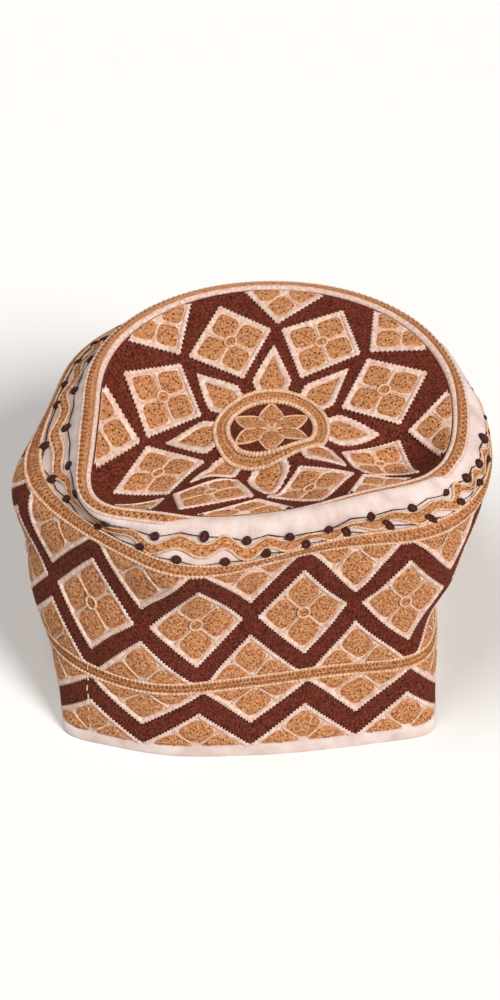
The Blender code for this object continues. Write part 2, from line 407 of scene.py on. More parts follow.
def ring_at(v: float) -> Ring:
    """The ring at one height, on smooth lines through the table that never overshoot it.

    Args:
        v: Distance up the cloth.

    Returns:
        A ring between the table's rings.
    """
    rows = np.array([astuple(ring) for ring in RINGS])
    keys = rows[:, 0]
    step = np.diff(keys)
    slope = np.diff(rows, axis=0) / step[:, None]
    before, after = slope[:-1], slope[1:]
    wide = (2.0 * step[1:] + step[:-1])[:, None]
    near = (step[1:] + 2.0 * step[:-1])[:, None]
    turns = before * after <= 0.0
    shares = wide / np.where(turns, 1.0, before) + near / np.where(turns, 1.0, after)
    mean = (wide + near) / shares
    tangent = np.vstack([slope[:1], np.where(turns, 0.0, mean), slope[-1:]])
    i = int(np.clip(np.searchsorted(keys, v) - 1, 0, len(keys) - 2))
    h = step[i]
    t = (v - keys[i]) / h
    return Ring(*(
        (2 * t**3 - 3 * t**2 + 1) * rows[i]
        + (t**3 - 2 * t**2 + t) * h * tangent[i]
        + (3 * t**2 - 2 * t**3) * rows[i + 1]
        + (t**3 - t**2) * h * tangent[i + 1]
    ))


def outline_at(v: float) -> np.ndarray:
    """Evenly spaced points round the cap at one height, from the front's middle.

    Args:
        v: Distance up the cloth.

    Returns:
        AROUND points, each with x, y and z.
    """
    ring = ring_at(v)
    turn = np.linspace(0.0, TURN, DENSE, endpoint=False) - pi / 2.0
    across, along = np.cos(turn), np.sin(turn)
    at_front, at_right = along < 0.0, across > 0.0
    corner = np.where(at_front, np.where(at_right, ring.nr, ring.nl), ring.nb)
    reach = square_reach(across, along, corner)
    across, along = reach * across, reach * along
    x = np.where(at_right, ring.right, ring.left) * across + ring.cx
    y = np.where(at_front, ring.front, ring.back) * along + ring.cy
    y = y - np.where(at_front, ring.bow * (1.0 - across**2) * np.abs(along), 0.0)
    first = int(np.argmin(np.abs(x) + np.where(y < ring.cy, 0.0, BEHIND)))
    points = resampled(np.stack([x, y], axis=-1), AROUND, first)
    place = np.arange(AROUND) / AROUND * REPEATS
    out, up = gathered(FOLDS + CREASES, place, v, "out", "up")
    points = points - left_of(unit(ahead(points))) * out[:, None]
    return raised(points, ring.z + ring.tilt * (points[:, 1] - ring.cy) / TILT_REACH + up)


def crown_rings(rim: np.ndarray) -> np.ndarray:
    """Rings of the slack crown from its middle to its edge.

    Args:
        rim: The side's top ring.

    Returns:
        An array of rings, places round the cap, and x, y and z.
    """
    edge = rim[:, :2] + left_of(unit(ahead(rim[:, :2]))) * CROWN_INSET
    middle = np.array(CROWN_MIDDLE)
    flat = -left_of(circle(AROUND)) * CROWN_SPREAD
    rings = []
    for share in np.linspace(0.0, 1.0, CROWN_STEPS + 1):
        plan = middle + share * (flat * (1.0 - share**2) + (edge - middle) * share**2)
        height = rim[:, 2].mean() * (1.0 - share) + rim[:, 2] * share
        height = height - CROWN_DROP * share**2 - BOWL_DEPTH * (1.0 - share**2)
        for dent in DENTS + CROWN_CREASES:
            angle = radians(dent.turn)
            dx, dy = plan[:, 0] - dent.x, plan[:, 1] - dent.y
            along = dx * cos(angle) + dy * sin(angle)
            aside = dy * cos(angle) - dx * sin(angle)
            spread = (along / dent.long) ** 2 + (aside / dent.wide) ** 2
            height -= dent.depth * (1.0 - share**4) * np.exp(-spread)
        rings.append(raised(plan, height))
    return np.stack(rings)


def sample(grid: np.ndarray, row: np.ndarray, column: np.ndarray) -> np.ndarray:
    """Values between the points of a grid whose columns close on themselves.

    Args:
        grid: Rows, columns and parts.
        row: Row numbers, with fractions.
        column: Column numbers, with fractions.

    Returns:
        One set of parts for each row and column asked for.
    """
    row = np.clip(row, 0.0, grid.shape[0] - 1.001)
    i, j = np.floor(row).astype(int), np.floor(column).astype(int)
    a, b = (row - i)[..., None], (column - j)[..., None]
    j0, j1 = j % grid.shape[1], (j + 1) % grid.shape[1]
    low = grid[i, j0] * (1.0 - b) + grid[i, j1] * b
    high = grid[i + 1, j0] * (1.0 - b) + grid[i + 1, j1] * b
    return low * (1.0 - a) + high * a


class CapForm:
    """The smooth cloth of the cap, sampled on fine grids that stitches are laid on."""

    def __init__(self) -> None:
        """Samples the side and the crown."""
        levels = np.arange(0.0, CLOTH_TOP + SIDE_STEP, SIDE_STEP)
        self.side = np.stack([outline_at(v) for v in levels])
        up_cloth = np.gradient(self.side, axis=0)
        self.side_normals = unit(np.cross(ahead(self.side, axis=1), up_cloth))
        self.crown = crown_rings(self.side[-1])
        outwards = np.gradient(self.crown, axis=0)
        normals = np.cross(outwards[1:], ahead(self.crown, axis=1)[1:])
        middle = np.broadcast_to(normals[0].sum(axis=0), normals[:1].shape)
        self.crown_normals = unit(np.concatenate([middle, normals]))

    def on_side(self, place: np.ndarray) -> np.ndarray:
        """Points on or above the side's cloth, in the cap's frame.

        Args:
            place: Distances round the cap and up the cloth, and height above it.

        Returns:
            Their x, y and z.
        """
        u, v = place[..., 0], place[..., 1]
        along, up = gathered(DRAWS, u / REPEAT, v, "along", "up")
        row, column = (v + up) / SIDE_STEP, (u + along) / GIRTH * AROUND
        normal = unit(sample(self.side_normals, row, column))
        return sample(self.side, row, column) + normal * place[..., 2:] - BOX_MIDDLE

    def on_crown(self, place: np.ndarray) -> np.ndarray:
        """Points on or above the crown's cloth, in the cap's frame.

        Args:
            place: Distances to the right and back on the flat crown, and height above it.

        Returns:
            Their x, y and z.
        """
        row, column = self.crown_place(place)
        normal = unit(sample(self.crown_normals, row, column))
        return sample(self.crown, row, column) + normal * place[..., 2:] - BOX_MIDDLE

    @staticmethod
    def crown_place(spots: np.ndarray) -> tuple[np.ndarray, np.ndarray]:
        """Row and column of the crown's rings for places on the flat crown.

        Args:
            spots: Distances to the right and to the back.

        Returns:
            Row and column numbers, with fractions.
        """
        x, y = spots[..., 0], spots[..., 1]
        share = np.hypot(x, y) / CROWN_RADIUS
        angle = np.degrees(np.arctan2(y, x)) % 360.0
        turned = angle.copy()
        for pull in PULLS:
            away = wrapped(angle - pull.towards, 360.0)
            fade = np.clip((share - pull.start) / (pull.full - pull.start), 0.0, 1.0)
            turned += pull.degrees * np.exp(-((away / pull.spread) ** 2)) * fade
        return share * CROWN_STEPS, (turned + 90.0) / 360.0 * AROUND

    def as_hung(self, spots: np.ndarray, slant: float) -> np.ndarray:
        """Where places on the flat crown come to lie; a slant counts height as a shift back."""
        hung = sample(self.crown, *self.crown_place(spots))
        return np.stack([hung[..., 0], hung[..., 1] + slant * hung[..., 2]], axis=-1)

    def settled(self, spots: np.ndarray, goal: np.ndarray, slant: float) -> np.ndarray:
        """Places on the flat crown that come to lie at wanted places, found step by step.

        Args:
            spots: Places near them.
            goal: The wanted distances in the view.
            slant: How far a point's height moves it back in that view.

        Returns:
            Places on the flat crown.
        """
        for _ in range(10):
            spots = spots + 0.6 * (goal - self.as_hung(spots, slant))
            far = np.hypot(spots[..., 0], spots[..., 1])[..., None]
            spots = spots * np.minimum(1.0, 1.04 * CROWN_RADIUS / np.maximum(far, 1e-6))
        return spots


def linear(hex_colour: str) -> tuple[float, float, float, float]:
    """Scene-linear colour of an sRGB hex code.

    Args:
        hex_colour: Six hex digits after a number sign.

    Returns:
        Red, green, blue and an alpha of one.
    """
    parts = [int(hex_colour[i:i + 2], 16) / 255.0 for i in (1, 3, 5)]
    parts = [p / 12.92 if p <= 0.04045 else ((p + 0.055) / 1.055) ** 2.4 for p in parts]
    return (*parts, 1.0)


@dataclass(frozen=True)
class Thread:
    """A cotton or rayon thread finish, laid in rows on the cloth.

    Attributes:
        name: The material's name.
        dark: Colour between the threads.
        mid: Main colour.
        light: Colour of the threads that catch the light.
        pitch: Distance between neighbouring rows of thread, in mm.
        lean: Direction of the rows in degrees from round the cap.
        roughness: Of the thread.
        sheen: Soft glow of loose fibres.
        relief: Depth of the rows, in mm.
        fleck: Size of the uneven spots of colour, in mm.
        pock: Distance between the small pits of the stitching, in mm, or 0.
        lint: Share of places with a pale loose fibre.
        cross: Whether a second set of rows crosses the first, as in plain cloth.
        gloss: Strength of the mirror-like part of the light.
        tint: Colour that some of the spots are multiplied by, or nothing.
    """

    name: str
    dark: str
    mid: str
    light: str
    pitch: float
    lean: float
    roughness: float
    sheen: float
    relief: float
    fleck: float
    pock: float = 0.0
    lint: float = 0.0
    cross: bool = False
    gloss: float = 0.2
    tint: str = ""


class Palette(Enum):
    """Every finish of the cap."""

    # Bleached plain-woven cotton: matt and faintly pink where it has been worn.
    COTTON = Thread("woven_bleached_cotton", "#AE9188", "#CAB5AD", "#DACBC6",
                    0.42, 0.0, 0.85, 0.2, 0.05, 9.0, cross=True)
    # The inner layer of the doubled cloth, greyer because no light bleached it.
    LINING = Thread("woven_cotton_lining", "#B09A8E", "#CFBFB5", "#E0D5CD",
                    0.5, 0.0, 0.9, 0.2, 0.05, 9.0, cross=True)
    # Floss laid side by side: the white frames look smoother than the cloth below.
    WHITE = Thread("white_satin_stitch_cotton", "#AB7C66", "#D2B1A0", "#E9D3C8",
                   0.45, 90.0, 0.7, 0.15, 0.12, 1.6)
    # Rayon lies flat and keeps a low gloss, so the brown bands stay deep.
    BROWN = Thread("brown_satin_stitch_rayon", "#220906", "#562114", "#7C3E2E",
                   0.45, 52.0, 0.75, 0.03, 0.14, 0.9, pock=1.3, lint=0.10, gloss=0.12)
    # Filling stitch pulled through in small pits, which give the tan its mottle.
    TAN = Thread("tan_filling_stitch_cotton", "#713A1A", "#AE7149", "#DCAC84",
                 0.60, 34.0, 0.7, 0.12, 0.16, 0.9, pock=1.25, tint="#F6F1D6")
    # Twisted cord couched down in short stitches, a soft cream line between the tans.
    CREAM = Thread("cream_cord_cotton", "#98684A", "#CFA585", "#E6C6AC",
                   0.50, 60.0, 0.7, 0.15, 0.12, 1.2)
    # Thread pulled down into the small holes, lit only from above.
    EYELET = Thread("shaded_eyelet_thread", "#3A150A", "#6B381B", "#8E5429",
                    0.35, 45.0, 0.8, 0.0, 0.06, 1.4, gloss=0.1)
    # The hollow middle of each chain stitch on the rim and the ropes, a warm half shade.
    CHAIN = Thread("shaded_chain_stitch_cotton", "#4C2410", "#7E4522", "#A56B3C",
                   0.35, 45.0, 0.8, 0.0, 0.06, 1.4, gloss=0.1)
    # Brown floss at the bottom of the needle holes along a frame, painted much darker than the
    # brown bands as the shade that fills each hole.
    HOLE = Thread("shaded_needle_hole_rayon", "#140403", "#34120C", "#4A1D14",
                  0.35, 45.0, 0.9, 0.0, 0.06, 0.9, gloss=0.05)
    # Waxed sewing thread, almost black in the hollows.
    DARK = Thread("dark_brown_cotton_thread", "#150605", "#30120D", "#552C22",
                  0.35, 45.0, 0.6, 0.05, 0.06, 0.9)


# Settings of the patterns that every thread finish shares.
ROWS_PER_MM = 0.314          # scale of the wave pattern for one row in each millimetre
FIBRES_PER_MM = 2.6
SPECKS_PER_MM = 0.75         # of pale lint on the brown bands, as coarse as it needs to show
COTTON_IOR = 1.47            # and rayon's, which is the same


def feed(node: bpy.types.Node, links: dict) -> None:
    """Gives a shader node's sockets their values and incoming links.

    Args:
        node: The node.
        links: Socket name or number to a value, or to the node or output that feeds it.
    """
    for socket, source in links.items():
        if isinstance(source, bpy.types.Node):
            source = source.outputs[0]
        if isinstance(source, bpy.types.NodeSocket):
            node.id_data.links.new(source, node.inputs[socket])
        else:
            node.inputs[socket].default_value = source


def add_node(tree: bpy.types.NodeTree, kind: str, links: dict, **settings) -> bpy.types.Node:
    """Adds a shader node with its settings and its incoming links.

    Args:
        tree: The node tree of a material.
        kind: The node's type.
        links: What its sockets are fed.
        **settings: Attributes of the node.

    Returns:
        The new node.
    """
    node = tree.nodes.new(kind)
    for name, value in settings.items():
        setattr(node, name, value)
    feed(node, links)
    return node


def scattered(tree: bpy.types.NodeTree, place: bpy.types.NodeSocket, scale: float,
              fade: tuple, chance: tuple, strength: tuple = (0.0, 1.0)) -> bpy.types.Node:
    """Adds the pattern of small round spots scattered over the cloth.

    Args:
        tree: The node tree of a material.
        place: Where the cloth's own millimetres come from.
        scale: Spots in each millimetre.
        fade: Distances from a spot's middle between which it fades, as shares.
        chance: Random values between which its strength grows.
        strength: Its least and its full strength.

    Returns:
        The last node of the pattern.
    """
    cells = add_node(tree, "ShaderNodeTexVoronoi", {"Vector": place, "Scale": scale})
    parts = []
    for output, ends, (low, high) in (("Distance", fade, (1.0, 0.0)), ("Color", chance, strength)):
        ranges = {"Value": cells.outputs[output], "From Min": ends[0], "From Max": ends[1],
                  "To Min": low, "To Max": high}
        parts.append(add_node(tree, "ShaderNodeMapRange", ranges))
    return add_node(tree, "ShaderNodeMath", dict(enumerate(parts)), operation="MULTIPLY")


@cache
def thread_material(finish: Palette) -> bpy.types.Material:
    """Material of one thread finish, patterned in the cloth's own millimetres.

    Args:
        finish: One entry of the palette.

    Returns:
        Its material, made on first use.
    """
    thread = finish.value
    cloth = bpy.data.materials.new(thread.name)
    cloth.use_nodes = True
    tree = cloth.node_tree
    place = add_node(tree, "ShaderNodeAttribute", {}, attribute_name="cloth_mm").outputs["Vector"]
    lean = {"Vector": place, "Rotation": (0.0, 0.0, radians(thread.lean))}
    turned = add_node(tree, "ShaderNodeMapping", lean)
    wave = {"Vector": turned, "Scale": ROWS_PER_MM / thread.pitch, "Distortion": 1.2, "Detail": 1.0}
    rows = add_node(tree, "ShaderNodeTexWave", {**wave, "Detail Scale": 1.5}, bands_direction="Y")
    rows = rows.outputs["Fac"]
    if thread.cross:
        columns = add_node(tree, "ShaderNodeTexWave", wave, bands_direction="X").outputs["Fac"]
        rows = add_node(tree, "ShaderNodeMath", {0: rows, 1: columns}, operation="MAXIMUM")
    fleck = {"Vector": place, "Scale": 1.0 / thread.fleck, "Detail": 3.0}
    flecks = add_node(tree, "ShaderNodeTexNoise", fleck)
    fibre = {"Vector": place, "Scale": FIBRES_PER_MM, "Detail": 2.0}
    fine = add_node(tree, "ShaderNodeTexNoise", fibre)
    # The tone is half from the flecks, and the rest from the rows and the fine fibres.
    spread = {"Value": flecks, "From Min": 0.32, "From Max": 0.68}
    tone = add_node(tree, "ShaderNodeMapRange", spread)
    tone = add_node(tree, "ShaderNodeMath", {0: tone, 1: 0.5}, operation="MULTIPLY")
    for part, share in ((rows, 0.28), (fine, 0.34)):
        added = {0: part, 1: share, 2: tone}
        tone = add_node(tree, "ShaderNodeMath", added, operation="MULTIPLY_ADD")
    if thread.pock:
        dip = scattered(tree, place, 1.0 / thread.pock, (0.16, 0.42), (0.25, 0.75), (-0.14, 0.46))
        tone, rows = (add_node(tree, "ShaderNodeMath", {0: part, 1: dip}, operation="SUBTRACT")
                      for part in (tone, rows))
    if thread.lint:
        chance = (0.72 - thread.lint, 0.78)
        speck = scattered(tree, place, SPECKS_PER_MM, (0.10, 0.24), chance)
        added = {0: speck, 1: 0.5, 2: tone}
        tone = add_node(tree, "ShaderNodeMath", added, operation="MULTIPLY_ADD")
    colour = add_node(tree, "ShaderNodeValToRGB", {0: tone})
    ramp = colour.color_ramp.elements
    ramp.new(0.52)
    for stop, (position, shade) in zip(
            ramp, ((0.10, thread.dark), (0.52, thread.mid), (0.95, thread.light))):
        stop.position, stop.color = position, linear(shade)
    if thread.tint:
        spots = add_node(tree, "ShaderNodeTexNoise", {"Vector": place, "Scale": 0.8, "Detail": 2.0})
        spread = {"Value": spots, "From Min": 0.45, "From Max": 0.62}
        share = add_node(tree, "ShaderNodeMapRange", spread)
        colour = add_node(tree, "ShaderNodeMix", {0: share, 6: colour, 7: linear(thread.tint)},
                          data_type="RGBA", blend_type="MULTIPLY").outputs[2]
    fuzz = add_node(tree, "ShaderNodeMath", {0: fine, 1: 0.5, 2: rows}, operation="MULTIPLY_ADD")
    relief = {"Height": fuzz, "Strength": 0.7, "Distance": thread.relief * MM}
    feed(tree.nodes["Principled BSDF"], {
        "Base Color": colour,
        "Normal": add_node(tree, "ShaderNodeBump", relief),
        "Roughness": thread.roughness,
        "IOR": COTTON_IOR,
        "Specular IOR Level": thread.gloss,
        "Sheen Weight": thread.sheen,
        "Sheen Roughness": 0.5,
        "Sheen Tint": linear(thread.light),
    })
    return cloth


@dataclass(frozen=True)
class Laying:
    """Heights above the cloth at which the parts of a motif are laid, in mm.

    Attributes:
        ground: Foot of the white ground below the petals.
        ground_lift: Height of its middle above that.
        ground_rings: Rings of its faces.
        petal: Foot of a petal.
        petal_lift: Height of its middle above that.
        petal_rings: Rings of its faces.
        hole: Of the needle holes along the frame.
        eyelet_lift: Share by which the eyelets lie higher than on the side.
        eyelet: Radius of an eyelet.
        few: How few eyelets there are, from all at -1 to none at 1.
    """

    ground: float
    ground_lift: float
    ground_rings: int
    petal: float
    petal_lift: float
    petal_rings: int
    hole: float
    eyelet_lift: float
    eyelet: float
    few: float


class Sheet(Enum):
    """Which cloth a stitch is laid on, and how high its motifs are laid."""

    SIDE = Laying(ground=0.22, ground_lift=0.04, ground_rings=4,
                  petal=0.20, petal_lift=0.62, petal_rings=3,
                  hole=0.66, eyelet_lift=1.0, eyelet=0.36, few=-0.45)
    CROWN = Laying(ground=0.42, ground_lift=0.06, ground_rings=7,
                   petal=0.30, petal_lift=0.66, petal_rings=6,
                   hole=0.36, eyelet_lift=1.17, eyelet=0.44, few=0.15)


# Rows of a raised edge: share of the way inwards, height and share of the teeth.
FRAME_EDGE = ((0.0, 0.10, 1.0), (0.0, 0.78, 1.0), (0.10, 0.92, 0.5), (0.5, 0.98, 0.0),
              (0.92, 0.70, 0.0), (1.0, 0.12, 0.0))
KITE_EDGE = ((0.0, 0.3, 1.0), (0.0, 0.95, 1.0), (0.15, 1.05, 0.5), (0.9, 0.95, 0.0),
             (1.0, 0.3, 0.0))
# Lines of a stitched strip: share of its half width, or radius, and height. A
# zigzag's are shares of its whole width, and the doubled ones are its edges' feet.
ROPE_LINES = ((-0.9, 0.2), (-0.5, 0.55), (0.0, 0.62), (0.5, 0.55), (0.9, 0.2))
BRAID_LINES = ((-1.0, 0.15), (-0.74, 0.55), (0.0, 0.66), (0.74, 0.55), (1.0, 0.15))
ZIGZAG_LINES = (0.0, 0.0, 0.07, 0.2, 0.4, 0.6, 0.8, 0.93, 1.0, 1.0)
KNOT_RINGS = ((2.0, 0.1), (1.95, 1.0), (1.5, 1.4), (1.0, 1.32), (0.75, 0.95))
MEDALLION_RINGS = ((21.8, 0.3), (20.9, 1.0), (19.9, 1.12), (18.9, 1.0), (18.0, 0.3))
# A kite's outline and filling: distance from the crown's middle and half width.
KITE_OUTER = ((22.3, 5.9), (26.2, 7.4), (27.4, 7.3), (42.5, 0.0))
KITE_INNER = ((22.9, 3.6), (25.9, 4.9), (27.2, 4.8), (37.8, 0.0))
PLUMP, FLAT = 2.6, 4.0       # fullness of a stuffed patch with a round or a nearly flat top
NEEDLE = 0.36                # radius of a needle hole
ROPE_POINTS = 1568           # four to each chain stitch of the ropes
BRAID_POINTS = 1176          # three to each chain stitch of the braid
BRAID_EYELETS = 336
SMALLEST = 0.25              # share of a petal inside the line from which it is laid


@dataclass
class Needlework:
    """Collects the faces of one piece, laid out in cloth millimetres.

    Attributes:
        form: The cap's cloth.
        sheet: The cloth that the work is laid on.
    """

    form: CapForm
    sheet: Sheet
    points: list = field(default_factory=list)
    cloth: list = field(default_factory=list)
    faces: list = field(default_factory=list)
    slots: list = field(default_factory=list)
    finishes: list = field(default_factory=list)
    count: int = 0

    def lay(self, place: np.ndarray) -> np.ndarray:
        """Points in space for places on the cloth and their heights above it."""
        return (self.form.on_side if self.sheet is Sheet.SIDE else self.form.on_crown)(place)

    def add(self, place: np.ndarray, faces: list, finish: Palette,
            points: np.ndarray | None = None) -> None:
        """Adds faces to the piece.

        Args:
            place: Two distances on the cloth and a height for each point.
            faces: Point numbers of each face.
            finish: Their finish.
            points: Their x, y and z where they don't follow from the place.
        """
        if finish not in self.finishes:
            self.finishes.append(finish)
        self.points.append(self.lay(place) if points is None else points)
        self.cloth.append(place)
        self.faces.extend([tuple(k + self.count for k in face) for face in faces])
        self.slots.extend([self.finishes.index(finish)] * len(faces))
        self.count += len(place)

    def grid(self, rows: list | np.ndarray, finish: Palette, wrap: bool = False,
             ring: bool = False, points: list | np.ndarray | None = None) -> None:
        """Adds a grid of quads.

        Args:
            rows: Rows of places on the cloth.
            finish: Its finish.
            wrap: Whether the last column joins the first.
            ring: Whether the last row joins the first.
            points: The grid's x, y and z where they don't follow from the place.
        """
        place = np.array(rows)
        count, columns = place.shape[:2]
        i = np.arange(count if ring else count - 1)
        j = np.arange(columns if wrap else columns - 1)
        i, j = (a.ravel() for a in np.meshgrid(i, j, indexing="ij"))
        low, high = i * columns, ((i + 1) % count) * columns
        k = (j + 1) % columns
        faces = np.stack([low + j, low + k, high + k, high + j], axis=-1).tolist()
        flat = None if points is None else np.array(points).reshape(-1, 3)
        self.add(place.reshape(-1, 3), faces, finish, flat)

    def pillow(self, outline: np.ndarray, foot: float, lift: float, finish: Palette,
               rings: int = 3, fullness: float = PLUMP) -> None:
        """Adds a stuffed patch of stitches.

        Args:
            outline: Closed outline on the cloth, turning left.
            foot: Height of its edge.
            lift: Height of its middle above the edge.
            finish: Its finish.
            rings: Rings of faces from the middle to the edge.
            fullness: How flat its top is.
        """
        middle = outline.mean(axis=0)
        around = len(outline)
        after = [(j, (j + 1) % around) for j in range(around)]
        place, faces = [np.array([[*middle, foot + lift]])], [(0, 1 + j, 1 + k) for j, k in after]
        for step in range(1, rings + 1):
            share = (step / rings) ** 0.7
            height = foot + lift * (1.0 - share**fullness) ** 0.6
            place.append(raised(middle + (outline - middle) * share, height))
            low, high = 1 + step * around, 1 + (step - 1) * around
            if step < rings:
                faces += [(low + j, low + k, high + k, high + j) for j, k in after]
        self.add(np.vstack(place), faces, finish)

    def cord(self, path: np.ndarray, radius: float, height: float, finish: Palette,
             closed: bool = False, pitch: float = STITCH, knuckle: float = 0.16,
             sides: int = 5) -> None:
        """Adds a cord of chain stitch along a path.

        Args:
            path: Places on the cloth.
            radius: Half the cord's thickness.
            height: Height of its middle.
            finish: Its finish.
            closed: Whether the path's end joins its start.
            pitch: Length of one stitch.
            knuckle: How much each stitch swells, as a share of the radius.
            sides: Faces round the cord.
        """
        along = ahead(path) if closed else np.gradient(path, axis=0)
        if closed and self.sheet is Sheet.SIDE:
            along[:, 0] = wrapped(along[:, 0], GIRTH)
        length = np.concatenate([[0.0], np.cumsum(np.hypot(*along[1:].T))])
        length /= 2.0 if closed else 1.0
        aside = left_of(unit(along))
        thick = radius * (1.0 + knuckle * np.cos(TURN * length / pitch))
        rows = []
        for side in range(sides):
            angle = TURN * (side + 0.5) / sides
            spots = path - aside * (thick * np.cos(angle))[:, None]
            rows.append(raised(spots, height + thick * np.sin(angle)))
        self.grid(rows, finish, wrap=closed, ring=True)

    def ribbon(self, u: np.ndarray, middle: np.ndarray, half: np.ndarray | float, lines: tuple,
               swell: np.ndarray | float = 0.0) -> None:
        """Adds a closed strip of tan filling stitch round the cap.

        Args:
            u: Distance round the cap.
            middle: Its middle, up the cloth.
            half: Half its width.
            lines: Share of the half width and height of each line along it.
            swell: Height of its stitches.
        """
        rows = [raised(placed(u, middle + share * half), height + swell)
                for share, height in lines]
        self.grid(rows, Palette.TAN, wrap=True)

    def dots(self, centres: np.ndarray, radius: float, heights: np.ndarray | float,
             finish: Palette, sink: float = 0.07) -> None:
        """Adds small round eyelets of six faces.

        Args:
            centres: Their places on the cloth.
            radius: Of each.
            heights: Height of each rim.
            finish: Their finish.
            sink: How far the middle lies below the rim.
        """
        spots = np.concatenate([centres[:, None] + circle(6) * radius, centres[:, None]], axis=1)
        levels = np.repeat(np.full(len(centres), heights)[:, None], 7, axis=1)
        levels[:, 6] -= sink
        place = np.concatenate([spots, levels[..., None]], axis=-1).reshape(-1, 3)
        faces = [(7 * n + k, 7 * n + (k + 1) % 6, 7 * n + 6)
                 for n in range(len(centres)) for k in range(6)]
        self.add(place, faces, finish)

    def build(self, name: str) -> bpy.types.Object:
        """Turns the collected faces into an object.

        Args:
            name: The object's name.

        Returns:
            The new object, dressed with its finishes.
        """
        mesh = bpy.data.meshes.new(name)
        mesh.from_pydata((np.vstack(self.points) * MM).tolist(), [], self.faces)
        self.dress(mesh)
        piece = bpy.data.objects.new(name, mesh)
        bpy.context.scene.collection.objects.link(piece)
        return piece

    def dress(self, mesh: bpy.types.Mesh) -> None:
        """Gives the mesh its materials, smooth faces and the cloth's own millimetres.

        Args:
            mesh: The mesh of the collected faces.
        """
        for finish in self.finishes:
            mesh.materials.append(thread_material(finish))
        mesh.polygons.foreach_set("material_index", self.slots)
        mesh.polygons.foreach_set("use_smooth", [True] * len(mesh.polygons))
        place = mesh.attributes.new("cloth_mm", "FLOAT_VECTOR", "POINT")
        place.data.foreach_set("vector", np.vstack(self.cloth).ravel())
        mesh.update()


